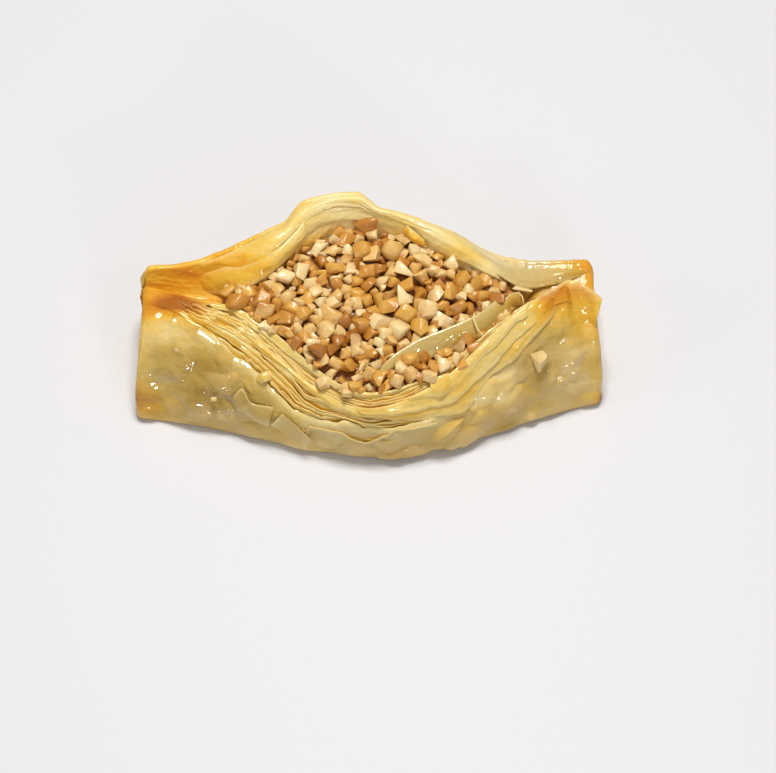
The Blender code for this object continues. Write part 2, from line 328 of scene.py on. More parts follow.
browning = {
    "left crests": ((-42, 6, 20.5), (11, 7, 4), 0.38),
    "left scorch": ((-41, 3.0, 19.6), (5.5, 2.2, 1.9), 0.66),
    "left fold edge": ((-33, 2.0, 20.0), (7, 2.2, 2.4), 0.20),
    "left strata": ((-28, -8, 15), (13, 8, 6), 0.12),
    "left back face": ((-41, 9.8, 20.5), (9, 3.0, 3.0), 0.12),
    "left back streak": ((-40, 10.5, 21.5), (5.0, 1.4, 1.5), 0.22),
    "left front crest": ((-34, 0.0, 19.6), (8, 2.0, 2.2), 0.18),
    "left end": ((-50, 4, 14), (2.5, 12, 9), 0.5),
    "left cap": ((-50, 1, 8), (2.5, 14, 9), 0.16),
    "right cap": ((50, 2, 8), (2.5, 14, 9), 0.12),
    "left front foot": ((-47.5, -11, 3.5), (5, 4, 5), 0.28),
    "right crest": ((42, 2.0, 21), (8, 4.5, 3.6), 0.32),
    "right crest edge": ((37, 2.6, 21.8), (10, 1.7, 1.6), 0.36),
    "right front": ((44, -3, 17), (7, 5, 5), 0.24),
    "right back corner": ((47, 12, 16), (4.5, 6, 5), 0.34),
    "right front foot": ((49, -11, 1.5), (1.6, 1.6, 1.4), 0.9),
    "back left": ((-26, 16, 22), (14, 9, 7), 0.26),
    # painted light: the top of the back lip is paler, for light that comes through the thin lip
    "back middle": ((-2, 20, 25), (15, 5, 6), -0.10),
    "right back pale": ((33, 12, 18), (9, 5, 4), -0.16),
    "inner left": ((-22, 9, 20), (12, 6, 4), 0.22),
}

paleToast = 0.14  # the browning of a leaf that no spot reaches

# Wetness and painted shade: where the leaf is soaked and greyish rather than dry and yellow; the front
# spots are also strong enough to darken the front walls as painted shade
wetAndShadeSpots = {
    "front middle": ((4, -25, 5), (24, 9, 7), 0.62),
    "front left": ((-37, -8, 12.5), (19, 9, 9), 0.68),
    "front left low": ((-31, -15, 6), (18, 8, 9), 0.5),
    "front right": ((37, -8, 12), (17, 9, 10), 0.76),
    "front right foot": ((30, -19, 3), (14, 7, 5), 0.35),
    "right back": ((36, 11, 17), (9, 7, 4), 0.35),
    "under": ((0, 0, -3), (70, 40, 4), 0.6),
}


def spots(points, table):
    # the sum of the table's bells, each a Gaussian of the distance in its own half widths
    total = np.zeros(points.shape[:-1])
    for centre, widths, strength in table.values():
        away = (points - np.array(centre)) / np.array(widths)
        total += strength * np.exp(-(away ** 2).sum(axis=-1))
    return total


def tones(points, extra=0.0):
    # browning, and wetness with its painted shade, at each point, broken up by noise
    patch = cloud(points[..., 0] / 7, (points[..., 1] + points[..., 2]) / 5, 61)
    toast = spots(points, browning) * (1 + 0.35 * patch) + paleToast + 0.08 * patch + extra
    wetAndShade = spots(points, wetAndShadeSpots) * (1 + 0.3 * patch)
    return {"toast": np.clip(toast, 0, 1), "wetAndShade": np.clip(wetAndShade, 0, 1), "edge": np.zeros(points.shape[:-1])}


# The parcel itself: one closed surface, swept along x, with its folds and lumps as relief

body = {
    "stations": 330, "wallRows": 64, "bandRows": 26, "backRows": 60, "innerRows": 44,
    "bandInset": 0.95,   # how far the surface lies behind the leaf edges
    "pillow": 0.6, "crease": 0.8, "streak": 0.45,
    "lump": 1.5,        # how far nuts and folded leaf ends push the outer leaf out
    "coarseLumps": (34, (3.2, 6.5)), "smallLumps": (90, (1.5, 3.0)), "leftLumps": (46, (1.8, 3.6)),
    "capRings": 27, "capSteps": 9, "capStep": 0.16, "capHeight": 9.0,
}


def bodyStations():
    # even stations, and at each end an arc of closer ones that rounds it
    half, radius = parcel["length"] / 2, parcel["endRound"]
    inner = np.linspace(-half + radius, half - radius, body["stations"])
    angle = np.radians(np.linspace(12, 90, 8))
    arc = half - radius + radius * np.sin(angle)
    inset = 1 - np.cos(angle)
    x = np.concatenate([-arc[::-1], inner, arc])
    return x, np.concatenate([inset[::-1], np.zeros(len(inner)), inset])


def footRow(wallY, wallZ, t, inward):
    # the wall's lowest stretch is drawn in by a quarter round that ends on the base
    tuck = parcel["footRound"] * np.clip(1 - t / 0.09, 0, 1) ** 2
    return wallY + inward * tuck, wallZ


def bodySurface():
    # cross-sections from the front foot up, over both lips and down to the back foot, displaced by relief
    x, inset = bodyStations()
    x = x[:, None]
    start = strataStart(x)
    rows = []
    low = np.linspace(0, 1, body["wallRows"])[None, :] * start
    y, z = frontWall(x, low)
    share = np.sin(math.pi * np.clip(low / start, 0, 1))
    y = y + parcel["lumpHeight"] * share * lumps(x, z, 6.5, 3)
    rows.append(footRow(y, z, low, 1) + ("wall",))
    band = mix(start, 1, np.linspace(0, 1, body["bandRows"])[None, 1:])
    y, z = frontWall(x, band)
    back = body["bandInset"] * step(band, start, mix(start, 1, 0.25)) * (1 - step(np.abs(x), 34, 42))
    rows.append((y + back * 0.9, z - back * 0.45, "band"))
    t = np.linspace(0, 1, 18)[None, 1:]
    y, z = innerFront(x, t)
    under = (1 - t) * body["bandInset"]
    rows.append((y + 0.86 * under, z - 0.43 * under, "hidden"))
    _, front, backY, floor = hollow(x)
    across = np.array([[0.33, 0.66]])
    rows.append((mix(front, backY, across), floor - 0.2 + 0 * across, "hidden"))
    t = np.linspace(0, 1, body["innerRows"])[None, :]
    rows.append(tuple(innerBack(x, t)) + ("inner",))
    rimY, rimZ = backRim(x)
    turn = np.linspace(0, math.pi, 7)[None, 1:-1]
    thick = parcel["backLipThick"]
    rows.append((rimY + thick * (1 - np.cos(turn)) / 2, rimZ - 0.15 + 0.35 * np.sin(turn), "lip"))
    t = np.linspace(0, 1, body["backRows"])[None, :]
    y, z = backWall(x, t)
    y = y + parcel["lumpHeight"] * np.sin(math.pi * t) * lumps(x, z, 6.5, 5)
    rows.append(footRow(y, z, 1 - t, -1) + ("back",))
    across = np.linspace(0.04, 0.96, 9)[None, :]
    rows.append((mix(backFoot(x) - 1.3, frontFoot(x) + 1.3, across), 0 * x + 0 * across, "base"))
    y = np.concatenate([np.broadcast_to(r[0], (len(x), r[0].shape[1])) for r in rows], axis=1)
    z = np.concatenate([np.broadcast_to(r[1], (len(x), r[1].shape[1])) for r in rows], axis=1)
    kinds = np.concatenate([[r[2]] * r[0].shape[1] for r in rows])
    middleY, middleZ = y.mean(axis=1, keepdims=True), z.max(axis=1, keepdims=True) / 2
    shrink = (inset * parcel["endRound"] / 12)[:, None]
    y = mix(y, middleY, shrink)
    z = np.where(z < 0.02, z, mix(z, middleZ, shrink))
    points = place(x, y, z)
    points = points + gridNormals(points) * bodyRelief(x, y, z, kinds)[..., None]
    points[..., 2] = np.maximum(points[..., 2], 0)
    points[:, kinds == "base", 2] = 0
    return points, kinds


def filmLumps(x, z):
    # large and small domes under the outer leaf, closer together on the right
    coarse = pressed(x, z, 901, *body["coarseLumps"], (-50, 50), (0, 19))
    small = pressed(x, z, 902, *body["smallLumps"], (-50, 50), (0, 20))
    left = 0.5 * pressed(x, z, 904, *body["leftLumps"], (-48, -20), (1, 16)) * step(-x, 20, 26)
    right = 0.62 * small * (0.55 + 0.45 * step(x, 5, 25)) + 0.3 * coarse
    return np.maximum(np.maximum(0.75 * coarse, left), right)


def bodyRelief(x, y, z, kinds):
    # pillows where nuts push the leaf out, creases between them, and long streaks along the lips
    lengths = np.hypot(np.diff(y), np.diff(z))
    along = np.concatenate([np.zeros((len(y), 1)), np.cumsum(lengths, axis=1)], axis=1)
    xx = np.broadcast_to(x, y.shape)
    wander = 2.2 * grain(xx / 11, along / 7, 21)
    pillow = body["pillow"] * cloud(xx / 8 + 3, along / 6, 31)
    crease = body["crease"] * ridges((xx + along * 0.5) / 7.5, (along - xx * 0.35 + wander) / 4.5, 41)
    streak = cloud(xx / 24, (along + wander * 0.6) / 1.5, 51) + 0.6 * ridges(xx / 30, along / 2.2, 55)
    streak = body["streak"] * streak
    fine = 0.06 * cloud(xx / 1.6, along / 1.3, 71)
    ends = 1 - step(np.abs(xx), 44, 48.5) * 0.65
    right = step(xx, 12, 30)
    film = body["lump"] * (filmLumps(xx, z) - 0.35)
    covered = 0.8 * step(xx, 5, 15) * step(z, 10, 14.5)  # flatter where broad leaves lie on the wall
    inside = (0.3 + 0.7 * step(xx, -30, -18)) * (1 - 0.7 * step(xx, 36, 45))
    pick = {
        "wall": film + (0.7 * pillow + crease * (0.7 + 0.65 * right)) * (1 - covered) + fine,
        "band": fine - 0.15,
        "inner": (streak + 0.4 * pillow) * inside + fine,
        "lip": 0.4 * streak + fine,
        "back": streak * 0.6 + 0.7 * film + pillow * 0.5 + fine,
    }
    relief = np.zeros(y.shape)
    for kind, field in pick.items():
        column = kinds == kind
        relief[:, column] = field[:, column]
    return relief * ends * step(z, 0.0, 2.0)


def endCap(ring, outward):
    # rings that shrink from the last section to a point inside it, set in by fine steps like leaf edges
    share = np.linspace(0, 1, body["capRings"])[1:-1, None, None] ** 0.9
    centre = np.array([ring[:, 0].mean(), ring[:, 1].mean(), body["capHeight"]])
    rings = mix(ring[None], centre, share)
    wave = 1 - np.cos(share[..., 0] * 2 * math.pi * body["capSteps"])
    inch = body["capStep"] * wave + 0.5 * share[..., 0]
    inch = inch + 0.25 * cloud(rings[..., 1] / 4, rings[..., 2] / 4, 83) * step(share[..., 0], 0, 0.3)
    rings[..., 0] -= outward * inch
    return rings


def makeBody():
    # the swept surface with a cap and a closing point at each end, and a tone for every point; what lies
    # under the leaf edges gets one plain tone
    points, kinds = bodySurface()
    n, m = points.shape[:2]
    left = endCap(points[0], -1)[::-1]
    right = endCap(points[-1], 1)
    points = np.concatenate([left, points, right])
    n = len(points)
    quads = gridQuads(n, m, closed=True)
    tips = np.stack([points[0].mean(axis=0), points[-1].mean(axis=0)])
    column = np.arange(m)
    following = (column + 1) % m
    start = np.stack([column * 0 + n * m, column, following], axis=-1)
    end = np.stack([column * 0 + n * m + 1, (n - 1) * m + following, (n - 1) * m + column], axis=-1)
    everything = np.concatenate([points.reshape(-1, 3), tips])
    values = tones(everything)
    hidden = np.concatenate([np.tile((kinds == "band") | (kinds == "hidden"), n), [False, False]])
    hidden = hidden * (1 - step(np.abs(everything[:, 0]), 32, 40))
    values["toast"] = mix(values["toast"], 0.45, hidden)
    values["wetAndShade"] = mix(values["wetAndShade"], 0.1, hidden)
    values["patch"] = filmLumps(everything[:, 0], everything[:, 2])
    made = makeMesh("pastry_body", everything, quads, np.concatenate([start, end]), values)
    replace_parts(made, "pastry")


makeBody()
print("parcel made")


# Leaf edges of the front lip: each leaf comes out from behind the one before it, and its edge is free

strata = {
    # lines on the front wall as (x, t): the short outermost leaf, the first whole one and one in between
    "outer": ((-15.5, 0.40), (-14.6, 0.36), (-13.8, 0.343), (-12.8, 0.42), (-9.8, 0.443), (-6, 0.49),
              (-4, 0.427), (-1.2, 0.375), (1.6, 0.463), (5.2, 0.57), (10.4, 0.547), (16, 0.50)),
    "first": ((-45, 0.90), (-41, 0.88), (-34, 0.825), (-29.6, 0.763), (-28.2, 0.72), (-23, 0.688),
              (-17.6, 0.56), (-16, 0.52), (-13.2, 0.532), (-10.2, 0.54), (-7.6, 0.595), (-5.4, 0.652),
              (-3, 0.633), (-1.6, 0.605), (4.8, 0.59), (10.4, 0.60), (18, 0.62), (26, 0.72), (36, 0.90),
              (42, 0.95)),
    "third": ((-41, 0.96), (-30, 0.87), (-22, 0.80), (-16.4, 0.753), (-13.6, 0.66), (-6.6, 0.695),
              (-2.6, 0.68), (1, 0.68), (10.4, 0.77), (20, 0.80), (28, 0.88), (38, 0.96), (42, 0.98)),
    "outerEnds": (-15.5, 15),
    # room above each leaf's edge, from the outermost leaf to the innermost
    "gaps": (0.0, 0.0, 1.2, 0.8, 1.1, 0.6, 0.9, 1.5, 0.6, 0.8,
             0.5, 0.9, 0.5, 0.7, 0.5, 0.8, 0.5, 0.7, 1.1, 1.6),
    "stations": 320, "rows": 6, "thick": 0.22, "tuck": 0.05, "depth": 1.0, "seed": 12,
    "waves": (0.024, 0.011, 0.004), "chip": 0.06,
    "leftEnds": (-45, -31), "rightEnds": (32, 42),
}


def leafEdge(k, x):
    # how far up the front wall leaf k ends: between the drawn lines by its share of the room, with
    # slow, quick and fine waves and a few chips out of it
    if k == 0:
        base, share = np.interp(x, *zip(*strata["outer"])), 0.0
    else:
        share = np.cumsum(strata["gaps"])[k] / sum(strata["gaps"])
        first, third = np.interp(x, *zip(*strata["first"])), np.interp(x, *zip(*strata["third"]))
        base = mix(first, third, share / 0.36) if share < 0.36 else mix(third, 1.0, (share - 0.36) / 0.64)
    slow, quick, fine = strata["waves"]
    wave = slow * grain(x / 9 + 7 * k, 0 * x + k, strata["seed"] + k) * (1 - share) ** 0.5 * (k > 1)
    wave = wave + quick * grain(x / 2.6, 0 * x + k, strata["seed"] + 40 + k)
    wave = wave + fine * grain(x / 0.8, 0 * x + k, strata["seed"] + 120 + k)
    chip = strata["chip"] * np.maximum(0, grain(x / 1.7, 0 * x + 3 * k, strata["seed"] + 80 + k) - 0.55)
    return np.minimum(base + (wave - chip) * (1 - 0.6 * (share == 1)), 1.015)


def sheetOnWall(wall, x, low, high, rise, thick, rows):
    # the wall between the lines low and high, raised along its normal by rise(v), with a back face below
    v = np.linspace(0, 1, rows)[None, :]
    t = low[:, None] + (high - low)[:, None] * v
    y, z = wall(x[:, None], t)
    base = place(x[:, None], y, z)
    normal = gridNormals(base)
    raised = rise(x[:, None], v)
    if wall is frontWall:
        film = body["lump"] * (filmLumps(x[:, None] + 0 * t, z) - 0.35)
        raised = raised + np.maximum(film, 0) * step(strataStart(x)[:, None] - t, -0.02, 0.06)
    outer = base + normal * raised[..., None]
    outer[..., 2] = np.maximum(outer[..., 2], 0.25)
    return outer, outer - gridNormals(outer) * thick


def makeStrata():
    # leaf k runs from a little below the edge of leaf k - 1 up to its own edge, in two pieces of ten
    count = len(strata["gaps"])
    draw = np.random.default_rng(strata["seed"])
    parts = []
    for k in range(count):
        left, right = draw.uniform(*strata["leftEnds"]), draw.uniform(*strata["rightEnds"])
        if k == 0:
            left, right = strata["outerEnds"]
        x = np.linspace(left, right, strata["stations"])
        high = leafEdge(k, x)
        low = (leafEdge(k - 1, x) if k > 1 else high - (0.13, 0.34)[k]) - strata["tuck"]

        def rise(xx, v, k=k, left=left, right=right):
            # from deep inside at the foot to the flared edge, and sunk into the wall at both ends
            flare = 0.12 + 0.34 * grain(xx / 6 + k, 0 * xx, 200 + k)
            flare = flare + 0.14 * grain(xx / 2.2, 0 * xx, 240 + k)
            reach = 2.0 if k == 0 else 16.0 if k == 1 else 7.0
            ends = 1 - step(xx, left, left + reach) * step(-xx, -right, -right + reach)
            depth = strata["depth"] * (0.3 if k == 1 else 1.0)
            return mix(-depth, flare + 0.45 * (k == 0), v ** 0.8) * (1 - ends) - 0.5 * ends

        outer, inner = sheetOnWall(frontWall, x, low, high, rise, strata["thick"], strata["rows"])
        points, quads = closedSheet(outer, inner)
        values = tones(points, -0.02 + draw.uniform(-0.06, 0.08))
        v = np.linspace(0, 1, strata["rows"])[None, :]
        # painted shade: each leaf is browned towards its foot, in the gap under the leaf before it, and
        # its underside more so
        footShade = np.broadcast_to(0.42 * (1 - v) ** 1.3 * (k > 1), outer.shape[:2]).ravel()
        values["toast"] = np.clip(values["toast"] + np.concatenate([footShade, footShade + 0.3]), 0, 1)
        values["wetAndShade"] = values["wetAndShade"] * (1.0 if k < 2 else 0.25)
        fade = step(x, left + 2, left + 12)[:, None]
        # painted highlight along each leaf's free edge
        values["edge"] = np.concatenate([(v ** 6 * fade).ravel(), np.zeros(outer[..., 0].size)])
        parts.append((points, quads, values))
    half = count // 2
    makeMesh("front_leaves_outer", *joined(parts[:half]))
    makeMesh("front_leaves_inner", *joined(parts[half:]))


makeStrata()
print("front leaves made")


# Broad leaves that lie on the walls, each between two lines drawn on its wall

def lineOnWall(knots, x):
    # a line given by a few (x, t) knots, read at every x by linear steps and then smoothed
    knots = np.array(knots)
    t = np.interp(x, knots[:, 0], knots[:, 1])
    width = max(3, len(x) // 26)
    padded = np.pad(t, width, mode="edge")
    window = np.hanning(2 * width + 1)
    return np.convolve(padded, window / window.sum(), mode="valid")


broadLeaves = {
    # the rolled fold that runs over the leaf edges and becomes the smooth yellow leaf on the right
    "front_flap": {
        "wall": frontWall, "x": (-2, 42), "rows": 24, "thick": 0.35, "seed": 301,
        "low": ((-2, 0.74), (4, 0.70), (10, 0.60), (16.4, 0.535), (19, 0.485), (21, 0.52), (23, 0.62),
                (25.4, 0.67), (29, 0.68), (35, 0.74), (42, 0.88)),
        "high": ((-2, 0.80), (4, 0.84), (10.4, 0.90), (17, 0.90), (23, 0.93), (28, 0.985), (34, 1.0),
                 (42, 1.0)),
        "puff": 0.45, "lift": 0.20, "ripple": 0.30, "toast": 0.12, "wetAndShade": 0.0,
    },
    "front_flap_mid": {
        "wall": frontWall, "x": (-6, 40), "rows": 14, "thick": 0.3, "seed": 303,
        "low": ((-6, 0.78), (4, 0.76), (12, 0.70), (18, 0.635), (22, 0.70), (27, 0.77), (33, 0.82),
                (40, 0.9)),
        "high": ((-6, 0.83), (4, 0.87), (14, 0.90), (23, 0.94), (30, 0.985), (40, 1.0)),
        "puff": 0.35, "lift": 0.75, "ripple": 0.25, "toast": 0.03, "wetAndShade": 0.0,
    },
    "front_flap_high": {
        "wall": frontWall, "x": (5, 37), "rows": 10, "thick": 0.28, "seed": 305,
        "low": ((5, 0.87), (12, 0.83), (18, 0.80), (24, 0.86), (30, 0.91), (37, 0.95)),
        "high": ((5, 0.89), (14, 0.905), (23, 0.955), (30, 0.99), (37, 1.0)),
        "puff": 0.2, "lift": 1.15, "ripple": 0.2, "toast": 0.0, "wetAndShade": 0.0,
    },
    # the rolled fold to the left of it, pale and thin
    "front_roll": {
        "wall": frontWall, "x": (-27, 9), "rows": 14, "thick": 0.3, "seed": 311,
        "low": ((-27, 0.86), (-16, 0.79), (-9, 0.73), (-2, 0.72), (4, 0.73), (9, 0.76)),
        "high": ((-27, 0.90), (-16, 0.86), (-9, 0.84), (-2, 0.83), (4, 0.86), (9, 0.89)),
        "puff": 0.45, "lift": 0.05, "ripple": 0.12, "toast": 0.02, "wetAndShade": 0.0,
    },
    # the leaf whose face turns up beside the nuts on the left
    "lip_leaf": {
        "wall": frontWall, "x": (-38, 12), "rows": 10, "thick": 0.25, "seed": 321,
        "low": ((-38, 0.985), (-30, 0.97), (-22, 0.94), (-12, 0.945), (-4, 0.96), (12, 0.985)),
        "high": ((-38, 1.0), (-30, 1.01), (-12, 1.015), (12, 1.01)),
        "puff": 0.1, "lift": 0.28, "ripple": 0.14, "toast": -0.02, "wetAndShade": 0.1,
    },
    # two leaves inside the back lip, one over the other
    "back_sheet_low": {
        "wall": innerBack, "x": (-40, 36), "rows": 24, "thick": 0.3, "seed": 331,
        "low": ((-40, 0.62), (-28, 0.50), (-18, 0.52), (-11, 0.62), (-4, 0.60), (8, 0.60), (18, 0.56),
                (28, 0.58), (36, 0.7)),
        "high": ((-40, 0.98), (-10, 0.99), (36, 0.98)),
        "puff": 0.25, "lift": 0.35, "ripple": 0.30, "toast": 0.02, "wetAndShade": 0.05,
    },
    "back_sheet_high": {
        "wall": innerBack, "x": (-30, 22), "rows": 16, "thick": 0.3, "seed": 341,
        "low": ((-30, 0.80), (-18, 0.74), (-8, 0.80), (2, 0.76), (12, 0.74), (22, 0.84)),
        "high": ((-30, 0.99), (22, 0.99)),
        "puff": 0.2, "lift": 0.45, "ripple": 0.30, "toast": -0.04, "wetAndShade": 0.0,
    },
    # the leaf on the outside of the back
    "outer_back_sheet": {
        "wall": backWall, "x": (-48, 48), "rows": 26, "thick": 0.3, "seed": 351,
        "low": ((-48, 0.02), (48, 0.02)),
        "high": ((-44, 0.30), (-30, 0.44), (-12, 0.36), (4, 0.52), (20, 0.42), (34, 0.56), (44, 0.4)),
        "puff": 0.1, "lift": 0.22, "ripple": 0.22, "toast": 0.02, "wetAndShade": 0.0,
    },
}


def makeBroadLeaf(name, leaf):
    # raised most along its middle (puff), with its own long ripples, and sunk into the wall at both ends
    x = np.linspace(*leaf["x"], 190)
    low, high = lineOnWall(leaf["low"], x), lineOnWall(leaf["high"], x)
    seed = leaf["seed"]
    ragged = 0.012 * grain(x / 2.4, 0 * x, seed) + 0.006 * grain(x / 0.9, 0 * x, seed + 1)
    low = low + ragged
    left, right = leaf["x"]
    reach = 0.12 * (right - left)

    def rise(xx, v):
        # lift, a sine of puff and three sizes of ripple, all faded into the wall over the reach
        ripple = leaf["ripple"] * cloud(xx / 17, v * 3.2 + 0.05 * xx, seed + 2)
        ripple = ripple + 0.16 * ridges(xx / 26, v * 7 + 0.06 * xx, seed + 6)
        ripple = ripple + 0.07 * cloud(xx / 12, v * 14, seed + 8)
        raised = leaf["lift"] + leaf["puff"] * np.sin(math.pi * v) + ripple
        ends = 1 - step(xx, left, left + reach) * step(-xx, -right, -right + reach)
        return raised * (1 - ends) - 0.6 * ends

    outer, inner = sheetOnWall(leaf["wall"], x, low, high, rise, leaf["thick"], leaf["rows"])
    points, quads = closedSheet(outer, inner)
    values = tones(points, leaf["toast"])
    v = np.linspace(0, 1, leaf["rows"])[None, :]
    # painted highlight along both long edges of the outer face
    edge = np.broadcast_to(np.maximum((1 - v) ** 9, 0.7 * v ** 12), outer.shape[:2]).ravel()
    values["edge"] = np.concatenate([edge, 0 * edge])
    # painted shade: the underside is browned more
    values["toast"] = np.clip(values["toast"] + np.repeat([0.0, 0.22], len(edge)), 0, 1)
    values["wetAndShade"] = np.clip(values["wetAndShade"] * 0.4 + leaf["wetAndShade"], 0, 1)
    makeMesh(name, points, quads, None, values)


for leafName, leafShape in broadLeaves.items():
    makeBroadLeaf(leafName, leafShape)
print("broad leaves made")


# Ribbons: small peeled leaves, each spanned between two curves

def bedPoint(x, y, up=0.0):
    # a point at that height over the nuts' bed
    return (x, y + parcel["shiftY"], float(nutBed(np.float64(x), np.float64(y))) + up)


def wallSpot(wall, x, t, out=0.0):
    # a point of a wall, moved out along the wall's normal
    xs = np.array([x - 0.5, x, x + 0.5])
    ts = np.array([t - 0.01, t, t + 0.01])
    y, z = wall(xs[:, None], ts[None, :])
    grid = place(xs[:, None], y, z)
    return tuple(grid[1, 1] + gridNormals(grid)[1, 1] * out)


def onFront(x, t, out=0.0):
    # a point on the front's outside
    return wallSpot(frontWall, x, t, out)


def onBack(x, t, out=0.0):
    # a point on the inside of the back lip
    return wallSpot(innerBack, x, t, out)


ribbons = {
    # the thin leaf that stands among the nuts on the right
    "divider_leaf": {
        "from": [bedPoint(0.8, -15.4, 0.2), bedPoint(3.8, -11.9, 1.5), bedPoint(9.8, -8.3, 2.2),
                 bedPoint(17.2, -5.3, 2.5), bedPoint(23.5, -2.4, 2.7), bedPoint(28.5, 1.9, 2.2),
                 bedPoint(32.5, 5.0, 1.4)],
        "to": [bedPoint(1.2, -16.6, -0.4), bedPoint(5.0, -13.8, -0.2), bedPoint(11.2, -11.3, 0.0),
               bedPoint(18.8, -8.6, 0.1), bedPoint(25.4, -5.4, 0.3), bedPoint(30.2, -1.2, 0.6),
               bedPoint(34.0, 2.6, 0.4)],
        "puff": 0.35, "thick": 0.22, "toast": 0.0, "wetAndShade": 0.6, "seed": 401, "ripple": 0.5,
    },
    # the leaves inside the back lip, left and right, that end in the valleys
    "inner_left_leaf": {
        "from": [bedPoint(-10.6, 20.4, 1.6), bedPoint(-13.2, 16.0, 2.2), bedPoint(-16.4, 11.8, 2.2),
                 bedPoint(-20.4, 8.6, 2.0), bedPoint(-25.6, 6.4, 0.9), (-31.0, 7.2, 17.4),
                 (-37.5, 8.4, 16.6)],
        "to": [onBack(-11.2, 0.82, 0.9), onBack(-15.0, 0.76, 0.9),
               onBack(-19.5, 0.74, 0.9), onBack(-25.5, 0.78, 0.9),
               onBack(-31.5, 0.76, 0.2), onBack(-38.5, 0.66, -0.8)],
        "puff": 0.8, "thick": 0.3, "toast": -0.02, "wetAndShade": 0.1, "seed": 411, "ripple": 0.35, "sink": 1.5,
    },
    "right_inner_leaf": {
        "from": [bedPoint(17.5, 14.6, 0.9), bedPoint(23.5, 11.6, 1.1), bedPoint(28.0, 8.2, 1.1),
                 bedPoint(33.5, 6.9, 0.8), (39.0, 7.4, 16.3), (44.0, 9.0, 16.2), (48.5, 10.6, 15.6)],
        "to": [onBack(16.0, 0.84, 0.5), onBack(23.0, 0.88, 0.6), onBack(30.0, 0.88, 0.5),
               onBack(37.0, 0.86, 0.4), onBack(43.0, 0.84, 0.2), onBack(48.5, 0.80, -0.4)],
        "puff": 0.6, "thick": 0.25, "toast": -0.02, "wetAndShade": 0.35, "seed": 421, "ripple": 0.3,
    },
    # the pointed leaf over the crest at the right front
    "right_tip": {
        "from": [onFront(33, 1.0, 0.0), onFront(38, 1.0, 0.2), (42.0, 4.2, 21.9),
                 (44.5, 4.2, 21.8), (47.2, 3.0, 20.9), (49.9, 1.0, 19.5)],
        "to": [onFront(33, 0.92, -0.8), onFront(38, 0.84, -2.0), onFront(42, 0.74, -2.6),
               onFront(45, 0.68, -2.8), onFront(47.5, 0.66, -2.2), onFront(49.3, 0.70, -0.8)],
        "puff": 0.75, "thick": 0.3, "toast": 0.0, "wetAndShade": 0.0, "seed": 427, "ripple": 0.6,
    },
    # the narrow loop behind the standing leaf
    "loop_leaf": {
        "from": [bedPoint(27.5, -1.6, 1.5), bedPoint(30.0, 2.2, 2.8), bedPoint(32.5, 3.4, 3.4),
                 bedPoint(33.2, 1.2, 3.6)],
        "to": [bedPoint(28.4, -3.4, 0.4), bedPoint(31.0, 0.6, 1.2), bedPoint(33.4, 1.6, 1.8),
               bedPoint(34.2, -0.6, 2.2)],
        "puff": 0.2, "thick": 0.2, "toast": 0.0, "wetAndShade": 0.4, "seed": 431, "ripple": 0.15,
    },
    # small flaps, chips and a thread
    "peeled_flap_upper": {
        "from": [onFront(-28.6, 0.42, 0.7), onFront(-26.6, 0.515, 0.9),
                 onFront(-24.8, 0.43, 0.9), onFront(-20.0, 0.475, 1.0)],
        "to": [onFront(-27.6, 0.33, 0.5), onFront(-25.4, 0.30, 0.5),
               onFront(-23.0, 0.27, 0.6), onFront(-21.2, 0.28, 0.9)],
        "puff": 0.2, "thick": 0.2, "toast": -0.04, "wetAndShade": 0.45, "seed": 441, "ripple": 0.1,
    },
    "peeled_flap_lower": {
        "from": [onFront(-20.8, 0.29, 0.7), onFront(-19.5, 0.37, 0.9), onFront(-18.2, 0.45, 1.2)],
        "to": [onFront(-13.6, 0.12, 0.9), onFront(-13.2, 0.20, 1.0), onFront(-12.4, 0.29, 1.3)],
        "puff": -0.3, "thick": 0.22, "toast": -0.04, "wetAndShade": 0.35, "seed": 451, "ripple": 0.1,
    },
    "curled_chip": {
        "from": [onFront(-23.6, 0.64, 0.3), onFront(-22.4, 0.69, 1.1), onFront(-20.8, 0.74, 0.5)],
        "to": [onFront(-22.8, 0.60, 0.2), onFront(-21.6, 0.64, 1.2), onFront(-20.4, 0.68, 0.4)],
        "puff": 0.4, "thick": 0.2, "toast": 0.0, "wetAndShade": 0.0, "seed": 461, "ripple": 0.05,
    },
    "folded_tag": {
        "from": [onFront(12.4, 0.95, 0.9), onFront(14.3, 0.955, 1.3), onFront(16.4, 0.93, 0.9)],
        "to": [onFront(12.6, 0.80, 0.9), onFront(14.8, 0.77, 1.5), onFront(17.0, 0.78, 0.9)],
        "puff": 0.5, "thick": 0.22, "toast": 0.08, "wetAndShade": 0.0, "seed": 471, "ripple": 0.1,
    },
    "thread": {
        "from": [bedPoint(22.4, -2.6, 3.2), bedPoint(22.2, -4.2, 3.6), bedPoint(23.0, -6.0, 2.6),
                 bedPoint(24.2, -7.0, 1.6)],
        "to": [bedPoint(22.7, -2.5, 3.3), bedPoint(22.55, -4.1, 3.7), bedPoint(23.3, -5.8, 2.7),
               bedPoint(24.4, -6.8, 1.7)],
        "puff": 0.0, "thick": 0.2, "toast": -0.14, "wetAndShade": 0.0, "seed": 491, "ripple": 0.0,
    },
    # the browned leaf end at the back of the opening
    "back_ear": {
        "from": [onBack(9.0, 0.60, 0.6), onBack(11.2, 0.575, 1.8), onBack(14.0, 0.56, 0.8)],
        "to": [onBack(9.4, 0.74, 0.4), onBack(11.6, 0.70, 1.2), onBack(13.2, 0.64, 0.9)],
        "puff": 0.7, "thick": 0.25, "toast": 0.34, "wetAndShade": 0.0, "seed": 481, "ripple": 0.3,
    },
}


